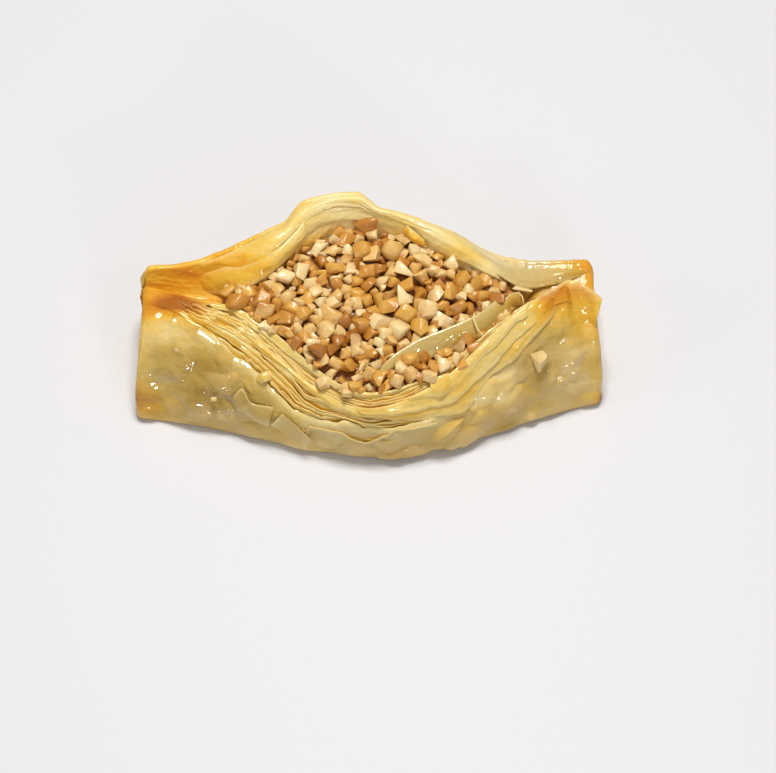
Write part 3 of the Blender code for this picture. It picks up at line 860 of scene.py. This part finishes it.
def makeRibbon(name, ribbon, stations=70, rows=12):
    # straight rungs between the two curves, bowed by puff and rippled along its length
    start, end = smoothPath(ribbon["from"], stations), smoothPath(ribbon["to"], stations)
    v = np.linspace(0, 1, rows)[None, :, None]
    flat = mix(start[:, None, :], end[:, None, :], v)
    normal = gridNormals(flat)
    upsideDown = normal[..., 2].mean() < 0
    normal = -normal if upsideDown else normal
    u = np.linspace(0, 1, stations)[:, None]
    ripple = cloud(u * 6, v[..., 0] * 2, ribbon["seed"])
    bow = ribbon["puff"] * np.sin(math.pi * v[..., 0]) + ribbon["ripple"] * ripple
    bow = bow - ribbon.get("sink", 0.0) * (1 - step(u, 0, 0.12) * step(-u, -1, -0.88))
    outer = flat + normal * bow[..., None]
    inner = outer - normal * ribbon["thick"]
    if upsideDown:
        outer, inner = inner, outer
    points, quads = closedSheet(outer, inner)
    values = tones(points, ribbon["toast"])
    # painted highlight along both long edges
    edge = np.broadcast_to(np.maximum(v[..., 0] ** 9, (1 - v[..., 0]) ** 9), (stations, rows)).ravel()
    values["edge"] = np.tile(edge, 2) * 0.8
    values["wetAndShade"] = np.clip(values["wetAndShade"] * 0.4 + ribbon["wetAndShade"], 0, 1)
    makeMesh(name, points, quads, None, values)


for ribbonName, ribbonShape in ribbons.items():
    makeRibbon(ribbonName, ribbonShape)
print("ribbons made")


# Chopped nuts: corner-cut boxes with every corner moved, one piece for each kind

nuts = {
    # single nuts as x, y, size and kind (0 pale, 0.6 golden, 0.95 brown): a row in front of the leaf that
    # stands among them, then distinct ones at the back, on the left and in the left valley
    "placed": ((5.6, -15.6, 1.9, 0), (8.6, -14.4, 2.1, 0), (11.4, -13.4, 1.7, 0.6), (12.8, -15.2, 1.9, 0),
               (15.6, -12.9, 2.3, 0), (18.6, -11.3, 1.8, 0), (20.0, -13.0, 1.5, 0.6),
               (22.6, -9.6, 2.1, 0.6), (25.4, -8.4, 1.8, 0), (27.6, -6.0, 1.6, 0.6),
               (1.4, 20.2, 2.5, 0.95), (-10.2, -9.0, 2.3, 0.95),
               (-27.2, 3.2, 2.6, 0.6), (-21.5, 1.0, 2.3, 0)),
    # the upper edge of the standing leaf as x and y
    "divider": ((2.2, -13.6), (3.8, -11.9), (5.8, -10.7), (9.8, -8.3), (12.8, -7.3), (17.2, -5.3),
                (21.6, -3.7), (24.4, -1.8), (28, 1.7), (32, 4.0)),
    "gap": 0.5, "spacing": 0.66, "radius": (1.5, 2.6), "count": 185, "seed": 7,
    "ends": (-27, 29), "sides": (-19, 22), "tries": 12000,
    "fillCount": 420, "fillRadius": (0.9, 1.7), "fillSeed": 70, "chamfer": 0.12, "swell": 1.22,
    "kinds": (0.56, 0.90), "sharpAngle": 54,  # a draw from 0.56 is a golden nut, from 0.90 a brown one
    "rightCorner": (28.4, 6.0),  # no nuts past this x and y, where they would climb the back wall
}


def insideWall(x, wall, t):
    # points of an inner wall moved into the hollow by the gap, square to the wall
    (y0, z0), (y1, z1) = wall(x, t - 0.01), wall(x, t + 0.01)
    length = np.hypot(y1 - y0, z1 - z0)
    inwardY, inwardZ = -(z1 - z0) / length * nuts["gap"], (y1 - y0) / length * nuts["gap"]
    return (y0 + y1) / 2 + inwardY, (z0 + z1) / 2 + inwardZ


def wallAtBed(x, wall, lowest):
    # where an inner wall comes out of the nuts, as y and t
    t = np.linspace(0, 1, 121)
    y, z = insideWall(x, wall, t)
    above = np.flatnonzero(z > nutBed(x, y))
    if above.size == 0:
        above = [int(np.argmax(z))]
    return float(y[above[lowest]]), float(t[above[lowest]])


def nutPlaces(draw):
    # spots thrown at random over the open bed and kept where they clear the walls and each other
    places = []
    tries = 0
    while len(places) < nuts["count"] and tries < nuts["tries"]:
        tries += 1
        radius = mix(*nuts["radius"], draw.uniform(0, 1) * (1 - 0.75 * tries / nuts["tries"]))
        x, y = draw.uniform(*nuts["ends"]), draw.uniform(*nuts["sides"])
        clear = 1.2 * radius
        low = wallAtBed(x, innerFront, -1)[0] + clear
        high = wallAtBed(x, innerBack, 0)[0] - clear
        if not low < y < high:
            continue
        reach = [(radius + r) * nuts["spacing"] for _, _, r in places]
        if all((x - a) ** 2 + (y - b) ** 2 > d * d for (a, b, _), d in zip(places, reach)):
            places.append((x, y, radius))
    return places


def nearDivider(x, y):
    # whether a spot lies on the slope of the leaf that stands among the nuts
    line = np.interp(x, *zip(*nuts["divider"]))
    return 3.0 < x < 29 and -3.1 * step(x, 2, 12) < y - line < 0.5


def nutRows():
    # centre, half sizes, turn and kind of every nut: first those of the solid, then the placed ones, then
    # smaller ones thrown at random and kept where there is room
    draw = np.random.default_rng(nuts["seed"])
    pick = np.random.default_rng(99)
    rows = []
    for x, y, radius in nutPlaces(draw):
        stretch = draw.uniform((0.85, 0.8, 0.65), (1.2, 1.05, 0.95))
        turn = draw.uniform(-0.9, 0.9, 3)
        lift = draw.uniform(0.1, 0.65) * radius
        draw.uniform(0.8, 1.15, 12)  # the solid's cuts, drawn here too so that the places agree with it
        crowded = any((x - a) ** 2 + (y - b) ** 2 < (0.8 * r) ** 2 for a, b, r, _ in nuts["placed"])
        if crowded or nearDivider(x, y):
            continue
        rows.append((x, y, nutBed(x, y) + lift, *(radius * stretch * 0.9), *turn, pick.uniform(0, 1)))
    draw = np.random.default_rng(nuts["fillSeed"])
    for x, y, radius, kind in nuts["placed"]:
        sizes = radius * draw.uniform((0.85, 0.7, 0.65), (1.05, 0.9, 0.85))
        height = nutBed(x, y) + 0.45 * radius + 1.2 * (y > 19)  # the one on the back edge stands higher
        rows.append((x, y, height, *sizes, *draw.uniform(-0.8, 0.8, 3), kind))
    spots = np.stack([draw.uniform(-29, 31.5, 4000), draw.uniform(-20, 22, 4000)], axis=-1)
    taken = [(r[0], r[1], r[3]) for r in rows]
    added = 0
    for x, y in spots:
        radius = draw.uniform(*nuts["fillRadius"])
        low = wallAtBed(x, innerFront, -1)[0] + 0.35 * radius - 0.5
        high = wallAtBed(x, innerBack, 0)[0] - 0.35 * radius + 0.5
        if added >= nuts["fillCount"] or not low < y < high or nearDivider(x, y):
            continue
        if all((x - a) ** 2 + (y - b) ** 2 > (0.56 * (radius + r)) ** 2 for a, b, r in taken):
            stretch = draw.uniform((0.8, 0.75, 0.7), (1.35, 1.1, 1.0))
            lift = draw.uniform(-0.1, 0.7) * radius
            turn = draw.uniform(-1.2, 1.2, 3)
            rows.append((x, y, nutBed(x, y) + lift, *(radius * stretch), *turn, pick.uniform(0, 1)))
            taken.append((x, y, radius))
            added += 1
    return np.array(rows)


def turned(points, angles):
    # each set of points turned about x, then y, then z by its own three angles
    a, b, c = [angles[:, i, None] for i in range(3)]
    x, y, z = points[..., 0], points[..., 1], points[..., 2]
    y, z = y * np.cos(a) - z * np.sin(a), y * np.sin(a) + z * np.cos(a)
    x, z = x * np.cos(b) + z * np.sin(b), -x * np.sin(b) + z * np.cos(b)
    x, y = x * np.cos(c) - y * np.sin(c), x * np.sin(c) + y * np.cos(c)
    return np.stack([x, y, z], axis=-1)


def chopped(rows, seed, taperLow=0.35):
    # each nut is a box with moved corners, tapered by a share from taperLow to 1; every corner becomes
    # three points, one drawn in along each pair of edges, which cuts the edges and corners flat: 6 sides,
    # 12 edges and 8 corners; then three knife cuts press whatever lies past a random plane onto it
    draw = np.random.default_rng(seed)
    count = len(rows)
    signs = np.stack(np.meshgrid((-1, 1), (-1, 1), (-1, 1), indexing="ij"), axis=-1).astype(float)
    corners = signs[None] * draw.uniform(0.5, 1.12, (count, 2, 2, 2, 3))
    taper = draw.uniform(taperLow, 1.0, (count, 1, 1, 1, 3))
    corners[..., 0] *= np.where(signs[None, ..., 2] > 0, taper[..., 0], 1)
    corners[..., 1] *= np.where(signs[None, ..., 0] > 0, taper[..., 1], 1)
    pulled = []
    for axis in range(3):
        others = [a for a in range(3) if a != axis]
        drawn = sum(np.flip(corners, axis=1 + a) - corners for a in others)
        pulled.append(corners + nuts["chamfer"] * drawn)
    points = np.stack(pulled, axis=-2).reshape(count, 24, 3)
    for _ in range(3):
        facing = draw.normal(0, 1, (count, 3))
        facing /= np.linalg.norm(facing, axis=1, keepdims=True)
        past = np.einsum("nkj,nj->nk", points, facing) - draw.uniform(0.42, 0.85, (count, 1))
        points = points - np.maximum(past, 0)[..., None] * facing[:, None, :]
    points = points * rows[:, None, 3:6] * nuts["swell"]
    points = turned(points, rows[:, 6:9]) + (rows[:, None, 0:3] + np.array([0, parcel["shiftY"], 0]))
    skin = np.clip(1.6 * np.einsum("nkj,nj->nk", points - points.mean(axis=1, keepdims=True),
                                   draw.normal(0, 1, (count, 3))) / rows[:, 3:4] - 0.9, 0, 1)
    skin = skin * (draw.uniform(0, 1, (count, 1)) < 0.45)
    tone = np.repeat(draw.uniform(0, 1, (count, 1)), 24, axis=1)
    return points, {"skin": skin, "tone": tone}


def boxFaces():
    # the 26 faces of one corner-cut box, by the numbers of its 24 points
    def number(i, j, k, axis):
        # the number of the point at corner i, j, k that was not drawn in along that axis
        return ((i * 2 + j) * 2 + k) * 3 + axis

    quads, tris = [], []
    for axis in range(3):
        b, c = [a for a in range(3) if a != axis]
        for side in (0, 1):
            ring = []
            for u, w in ((0, 0), (1, 0), (1, 1), (0, 1)):
                at = [0, 0, 0]
                at[axis], at[b], at[c] = side, u, w
                ring.append(number(*at, axis))
            quads.append(ring)
        for u in (0, 1):
            for w in (0, 1):
                ends = []
                for side in (0, 1):
                    at = [0, 0, 0]
                    at[axis], at[b], at[c] = side, u, w
                    ends.append(at)
                near, far = ends
                quads.append([number(*near, b), number(*far, b), number(*far, c), number(*near, c)])
    for i in (0, 1):
        for j in (0, 1):
            for k in (0, 1):
                tris.append([number(i, j, k, axis) for axis in range(3)])
    return np.array(quads), np.array(tris)


def nutMesh(name, points, values):
    # boxes of 24 points each as one mesh with sharp cuts; the random turns and cuts can leave a box
    # inside out, so the normals are worked out again
    quads, tris = boxFaces()
    start = np.arange(len(points))[:, None, None] * 24
    quads, tris = (quads[None] + start).reshape(-1, 4), (tris[None] + start).reshape(-1, 3)
    made = makeMesh(name, points, quads, tris, values, True, "chopped_nuts")
    shape = bmesh.new()
    shape.from_mesh(made.data)
    bmesh.ops.recalc_face_normals(shape, faces=shape.faces[:])
    shape.to_mesh(made.data)
    shape.free()
    made.data.set_sharp_from_angle(angle=math.radians(nuts["sharpAngle"]))
    return made


def makeNuts():
    # every nut of a kind in one piece
    rows = nutRows()
    pick = rows[:, 9]
    golden, brown = nuts["kinds"]
    kinds = {"nuts_pale": pick < golden, "nuts_golden": (pick >= golden) & (pick < brown),
             "nuts_brown": pick >= brown}
    climbs = (rows[:, 0] > nuts["rightCorner"][0]) & (rows[:, 1] > nuts["rightCorner"][1])
    print("nuts left out of the right corner:", int(climbs.sum()))
    for index, (name, chosen) in enumerate(kinds.items()):
        points, values = chopped(rows[chosen], 500 + index)
        stays = ~climbs[chosen]  # left out after the draw, so that the others keep their shapes
        points, values = points[stays], {key: value[stays] for key, value in values.items()}
        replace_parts(nutMesh(name, points, values), "nut_filling")
        print(name, len(points))


def makeNutCore():
    # a closed body under the nuts: a bumpy top on the bed's height, and a plain underside; it is coloured
    # dark as painted shade in the gaps between the nuts
    x = np.linspace(-30.3, 30.8, 110)
    low = np.array([wallAtBed(a, innerFront, -1)[0] for a in x])
    high = np.array([wallAtBed(a, innerBack, 0)[0] for a in x])
    v = np.linspace(0, 1, 70)[None, :]
    y = mix(low[:, None], high[:, None], v)
    xx = np.broadcast_to(x[:, None], y.shape)
    rim = np.minimum(np.minimum(v, 1 - v) * 14, 1) * np.minimum((31 - np.abs(xx)) / 2.5, 1)
    top = nutBed(xx, y) - 0.95 + 0.55 * lumps(xx, y, 1.6, 77) * np.clip(rim, 0, 1)
    outer = np.stack([xx, y + parcel["shiftY"], top], axis=-1)
    inner = outer.copy()
    inner[..., 2] = np.minimum(top - 0.5, 12.5)
    points, quads = closedSheet(outer, inner)
    values = {"skin": np.full(len(points), 0.8), "tone": np.full(len(points), 0.1)}
    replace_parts(makeMesh("nut_core", points, quads, None, values, True, "chopped_nuts"), "nut_filling")


makeNuts()
makeNutCore()
print("nuts made")


# Stray bits on the pastry, all of pale nut: where, and half sizes
strays = {
    "stray_nut_right": (onFront(36.4, 0.585, 1.4), (2.0, 1.7, 1.6)),
    "stray_nut_cube": (onFront(-9.6, 0.93, 0.9), (1.5, 1.1, 1.0)),
    "stray_nut_flat": (onFront(-5.0, 0.96, 0.8), (1.5, 1.0, 0.8)),
    "stray_nut_cavity": (bedPoint(33.5, 5.6, 1.0), (2.3, 0.9, 0.8)),
    "stray_crumb_left": (onFront(-32.6, 0.362, 1.1), (0.9, 0.55, 0.45)),
}


def makeStrays():
    # one box each, hardly tapered, at its place and with a turn of its own
    for index, (name, (centre, sizes)) in enumerate(strays.items()):
        turn = np.random.default_rng(600 + index).uniform(-0.5, 0.5, 3)
        row = np.array([[centre[0], centre[1] - parcel["shiftY"], centre[2], *sizes, *turn]])
        points, values = chopped(row, 620 + index, 0.8)
        values["skin"] = values["skin"] * 0.5
        nutMesh(name, points, values)


makeStrays()
print("stray bits made")


# Finishes

phyllo = {
    # colour by browning, from the palest leaf to the scorched crest
    "ramp": ((0.0, (0.90, 0.70, 0.33)), (0.18, (0.88, 0.59, 0.15)), (0.36, (0.84, 0.47, 0.035)),
             (0.55, (0.76, 0.33, 0.008)), (0.75, (0.60, 0.19, 0.004)), (1.0, (0.36, 0.09, 0.003))),
    # the wet leaf's colours, soaked and over lumps, made darker as well to paint shade on the front walls
    "soaked": (0.39, 0.235, 0.025), "lump": (0.53, 0.335, 0.085),
    # pale cream for the leaf edges: a painted highlight where the thin edges catch the light
    "edge": (0.85, 0.68, 0.30),
    "roughness": (0.38, 0.62), "coat": (0.22, 1.4), "coatRoughness": 0.045, "coatIndex": 1.65,
    "specular": 0.27, "scatter": (0.16, (1.0, 0.6, 0.2), 0.0012),
    # noises as scale, detail, stretch and kind
    "streaks": (260, 4, (0.25, 1, 1)), "mottle": (900, 3), "clouds": (90, 3), "blotches": (150, 4),
    "creases": (140, 3, (0.55, 1, 1), "RIDGED_MULTIFRACTAL"), "dimples": (230, 2),
}

nutFinish = {
    "nuts_pale": ((0.86, 0.66, 0.33), (0.72, 0.42, 0.11)),
    "nuts_golden": ((0.72, 0.39, 0.07), (0.52, 0.21, 0.022)),
    "nuts_brown": ((0.54, 0.23, 0.03), (0.38, 0.13, 0.012)),
    # the dark colour under the nuts is painted shade in the gaps between them
    "skin": (0.52, 0.21, 0.035), "core": (0.22, 0.08, 0.018),
    "roughness": (0.28, 0.5), "coat": 0.35, "coatRoughness": 0.12,
    "scatter": (0.12, (1.0, 0.7, 0.4), 0.0012), "specks": (700, 4), "pits": (650, 3),
}


def newMaterial(name):
    # a material with its node tree and its one shader
    material = bpy.data.materials.new(name)
    material.use_nodes = True
    tree = material.node_tree
    return material, tree, tree.nodes["Principled BSDF"]


def attribute(tree, name):
    # a value that the mesh holds for each of its points
    node = tree.nodes.new("ShaderNodeAttribute")
    node.attribute_name = name
    return node.outputs["Fac"]


def noise(tree, scale, detail, stretch=(1, 1, 1), kind="FBM"):
    # noise on Object coordinates, stretched by a Mapping node
    place = tree.nodes.new("ShaderNodeTexCoord")
    mapping = tree.nodes.new("ShaderNodeMapping")
    mapping.inputs["Scale"].default_value = stretch
    texture = tree.nodes.new("ShaderNodeTexNoise")
    texture.noise_type = kind
    texture.inputs["Scale"].default_value = scale
    texture.inputs["Detail"].default_value = detail
    tree.links.new(place.outputs["Object"], mapping.inputs["Vector"])
    tree.links.new(mapping.outputs["Vector"], texture.inputs["Vector"])
    return texture.outputs["Fac"]


def calc(tree, operation, a, b, clamp=False):
    # one sum of two terms, each a number or a socket, held within 0 and 1 if clamped
    node = tree.nodes.new("ShaderNodeMath")
    node.operation = operation
    node.use_clamp = clamp
    for socket, value in zip(node.inputs, (a, b)):
        if isinstance(value, (int, float)):
            socket.default_value = value
        else:
            tree.links.new(value, socket)
    return node.outputs[0]


def centred(tree, value, strength):
    # (value - 0.5) times strength, so that noise swings round 0
    return calc(tree, "MULTIPLY", calc(tree, "SUBTRACT", value, 0.5), strength)


def blended(tree, factor, a, b, kind="MIX"):
    # colours a and b mixed by the factor, each a number, a colour or a socket
    node = tree.nodes.new("ShaderNodeMix")
    node.data_type = "RGBA"
    node.blend_type = kind
    for socket, value in ((node.inputs[0], factor), (node.inputs[6], a), (node.inputs[7], b)):
        if isinstance(value, (int, float)):
            socket.default_value = value
        elif isinstance(value, tuple):
            socket.default_value = (*value, 1)
        else:
            tree.links.new(value, socket)
    return node.outputs[2]


def ramp(tree, factor, stops):
    # the colour that the stops give at the factor
    node = tree.nodes.new("ShaderNodeValToRGB")
    line = node.color_ramp
    while len(line.elements) < len(stops):
        line.elements.new(0.5)
    for element, (place, colour) in zip(line.elements, stops):
        element.position = place
        element.color = (*colour, 1)
    tree.links.new(factor, node.inputs["Fac"])
    return node.outputs["Color"]


def spread(tree, factor, low, high, fromLow=0.0, fromHigh=1.0):
    # a straight line from low to high over the factor's range, level outside it
    node = tree.nodes.new("ShaderNodeMapRange")
    node.inputs["From Min"].default_value = fromLow
    node.inputs["From Max"].default_value = fromHigh
    node.inputs["To Min"].default_value = low
    node.inputs["To Max"].default_value = high
    tree.links.new(factor, node.inputs["Value"])
    return node.outputs["Result"]


def bumps(tree, height, strength, distance, *sockets):
    # the height as fine relief on the sockets' normals
    node = tree.nodes.new("ShaderNodeBump")
    node.inputs["Strength"].default_value = strength
    node.inputs["Distance"].default_value = distance
    tree.links.new(height, node.inputs["Height"])
    for socket in sockets:
        tree.links.new(node.outputs["Normal"], socket)


def greyOf(tree, value):
    # one number as red, green and blue alike
    node = tree.nodes.new("ShaderNodeCombineColor")
    for socket in node.inputs[:3]:
        tree.links.new(value, socket)
    return node.outputs["Color"]


def scatter(shader, weight, radius, reach):
    # light that passes a little way through the surface, red the furthest
    shader.inputs["Subsurface Weight"].default_value = weight
    shader.inputs["Subsurface Radius"].default_value = radius
    shader.inputs["Subsurface Scale"].default_value = reach


def phylloMaterial():
    # browning, with painted shade at the leaves' feet and undersides, picks the colour, streaks run along
    # the leaf, and the wetness with its painted shade and the edges with their painted highlight are laid
    # over it
    material, tree, shader = newMaterial("syrup_soaked_phyllo")
    streaks = noise(tree, *phyllo["streaks"])
    mottle = noise(tree, *phyllo["mottle"])
    clouds = noise(tree, *phyllo["clouds"])
    shade = calc(tree, "ADD", centred(tree, streaks, 0.38), centred(tree, clouds, 0.4))
    toast = calc(tree, "ADD", attribute(tree, "toast"), shade, True)
    colour = ramp(tree, toast, phyllo["ramp"])
    blotch = noise(tree, *phyllo["blotches"])
    patch = calc(tree, "ADD", attribute(tree, "patch"), centred(tree, blotch, 2.2), True)
    patch = spread(tree, patch, 0.0, 1.0, 0.28, 0.55)
    wetAndShade = attribute(tree, "wetAndShade")
    soaked = blended(tree, patch, phyllo["soaked"], phyllo["lump"])
    # painted shade: the soaked colour is darkened further where it is wetter, which darkens the front
    # walls
    soakedShade = calc(tree, "SUBTRACT", 1.02, calc(tree, "MULTIPLY", wetAndShade, 0.16))
    soaked = blended(tree, 1.0, soaked, greyOf(tree, soakedShade), "MULTIPLY")
    soak = calc(tree, "MULTIPLY", wetAndShade, calc(tree, "ADD", calc(tree, "MULTIPLY", mottle, 0.5), 0.75), True)
    colour = blended(tree, soak, colour, soaked)
    # painted highlight: the leaf edges are blended towards pale cream
    edge = calc(tree, "MULTIPLY", attribute(tree, "edge"), 0.75, True)
    colour = blended(tree, edge, colour, phyllo["edge"])
    colour = blended(tree, 1.0, colour, greyOf(tree, spread(tree, mottle, 0.84, 1.06)), "MULTIPLY")
    tree.links.new(colour, shader.inputs["Base Color"])
    dull = calc(tree, "ADD", spread(tree, streaks, *phyllo["roughness"]),
                spread(tree, attribute(tree, "toast"), 0.0, 0.22, 0.3, 0.8), True)
    tree.links.new(dull, shader.inputs["Roughness"])
    glaze = spread(tree, wetAndShade, *phyllo["coat"])
    glaze = calc(tree, "MULTIPLY", glaze, spread(tree, blotch, 0.4, 1.3, 0.35, 0.6), True)
    glaze = calc(tree, "MULTIPLY", glaze, spread(tree, attribute(tree, "toast"), 1.0, 0.15, 0.35, 0.8))
    tree.links.new(glaze, shader.inputs["Coat Weight"])
    shader.inputs["Specular IOR Level"].default_value = phyllo["specular"]
    shader.inputs["Coat Roughness"].default_value = phyllo["coatRoughness"]
    shader.inputs["Coat IOR"].default_value = phyllo["coatIndex"]
    scatter(shader, *phyllo["scatter"])
    creases = noise(tree, *phyllo["creases"])
    height = calc(tree, "ADD", calc(tree, "MULTIPLY", streaks, 0.8), calc(tree, "MULTIPLY", mottle, 0.3))
    height = calc(tree, "ADD", height, calc(tree, "MULTIPLY", creases, 0.35))
    bumps(tree, height, 0.8, 0.0009, shader.inputs["Normal"])
    dimples = calc(tree, "ADD", calc(tree, "MULTIPLY", creases, 0.6), noise(tree, *phyllo["dimples"]))
    bumps(tree, dimples, 0.4, 0.0007, shader.inputs["Coat Normal"])
    return material


def nutMaterial(name, pale, footShade):
    # tone picks between two colours of the kind, skin shows on one side, fine specks break it up
    material, tree, shader = newMaterial("chopped_" + name)
    speck = noise(tree, *nutFinish["specks"])
    tone = calc(tree, "ADD", attribute(tree, "tone"), centred(tree, speck, 0.9), True)
    colour = blended(tree, tone, pale, footShade)
    skin = calc(tree, "MULTIPLY", attribute(tree, "skin"), calc(tree, "ADD", speck, 0.35), True)
    colour = blended(tree, skin, colour, nutFinish["skin"])
    tree.links.new(colour, shader.inputs["Base Color"])
    tree.links.new(spread(tree, speck, *nutFinish["roughness"]), shader.inputs["Roughness"])
    shader.inputs["Coat Weight"].default_value = nutFinish["coat"]
    shader.inputs["Coat Roughness"].default_value = nutFinish["coatRoughness"]
    scatter(shader, *nutFinish["scatter"])
    pits = noise(tree, *nutFinish["pits"])
    bumps(tree, pits, 0.6, 0.0005, shader.inputs["Normal"], shader.inputs["Coat Normal"])
    return material


phylloLook = phylloMaterial()
nutLooks = {name: nutMaterial(name, *nutFinish[name])
            for name in ("nuts_pale", "nuts_golden", "nuts_brown")}
# the body under the nuts gets the dark colour of painted shade
nutLooks["nut_core"] = nutMaterial("nut_core", nutFinish["core"], nutFinish["core"])

for piece in bpy.context.scene.objects:
    if piece.type != "MESH" or piece.name in frame["nodes"]:
        continue
    kind = "nuts_pale" if piece.name in strays else piece.name
    piece.data.materials.clear()
    piece.data.materials.append(nutLooks.get(kind, phylloLook))
print("finishes made")


# Floor, light and camera

studio = {
    "floor": (0.68, 0.67, 0.685), "floorReach": 1.5, "floorRoughness": 0.55,
    "world": (1.0, 1.0, 1.0), "worldStrength": 0.26,
    # place, width and height, power, colour; a glint is small, for sharp highlights in the syrup
    "lights": {
        "key": ((0.01, 0.16, 0.71), (0.22, 0.22), 4.7, (1.0, 0.99, 0.97)),
        "leftFill": ((-0.60, -0.15, 0.30), (0.20, 0.20), 0.4, (1.0, 1.0, 1.0)),
        "fill": ((0.12, -0.62, 0.40), (0.04, 0.04), 0.12, (1.0, 1.0, 1.0)),
        "glintLeft": ((-0.16, -0.60, 0.10), (0.03, 0.03), 0.10, (1.0, 1.0, 1.0)),
        "glintMiddle": ((0.24, -0.30, 0.46), (0.03, 0.03), 0.15, (1.0, 1.0, 1.0)),
        "strip": ((0.14, -0.50, 0.22), (0.14, 0.03), 0.45, (1.0, 1.0, 1.0)),
    },
}

view = {
    "elevation": 55.0, "azimuth": -2.4, "distance": 0.75,
    "aim": (0.0043, -0.0060, 0.0), "lens": 162.2,
}


def makeStudio():
    # a plain floor and world, and soft lamps that all face the middle of the parcel
    floorMesh = bpy.data.meshes.new("floor")
    reach = studio["floorReach"]
    corners = [(-reach, -reach, 0), (reach, -reach, 0), (reach, reach, 0), (-reach, reach, 0)]
    floorMesh.from_pydata(corners, [], [(0, 1, 2, 3)])
    floor = bpy.data.objects.new("floor", floorMesh)
    bpy.context.scene.collection.objects.link(floor)
    material, _, shader = newMaterial("floor_pale")
    shader.inputs["Base Color"].default_value = (*studio["floor"], 1)
    shader.inputs["Roughness"].default_value = studio["floorRoughness"]
    floorMesh.materials.append(material)
    world = bpy.data.worlds.new("studio")
    world.use_nodes = True
    world.node_tree.nodes["Background"].inputs["Color"].default_value = (*studio["world"], 1)
    world.node_tree.nodes["Background"].inputs["Strength"].default_value = studio["worldStrength"]
    bpy.context.scene.world = world
    for name, (spot, size, power, colour) in studio["lights"].items():
        lamp = bpy.data.lights.new(name, "AREA")
        lamp.shape = "RECTANGLE"
        lamp.energy, lamp.size, lamp.size_y, lamp.color = power, *size, colour
        holder = bpy.data.objects.new(name, lamp)
        holder.location = spot
        holder.rotation_euler = (-Vector(spot)).to_track_quat("-Z", "Y").to_euler()
        bpy.context.scene.collection.objects.link(holder)


def makeCamera():
    # stands back from the aim by the distance, at the photograph's elevation and azimuth
    lens = bpy.data.cameras.new("camera")
    lens.lens, lens.sensor_width = view["lens"], 36
    lens.clip_start = 0.01
    eye = bpy.data.objects.new("camera", lens)
    up, round_ = math.radians(view["elevation"]), math.radians(view["azimuth"])
    back = Vector((math.sin(round_) * math.cos(up), -math.cos(round_) * math.cos(up), math.sin(up)))
    eye.location = Vector(view["aim"]) + back * view["distance"]
    eye.rotation_euler = (-back).to_track_quat("-Z", "Y").to_euler()
    bpy.context.scene.collection.objects.link(eye)
    bpy.context.scene.camera = eye


makeStudio()
makeCamera()
bpy.context.scene.view_settings.view_transform = "Standard"
print("studio made")
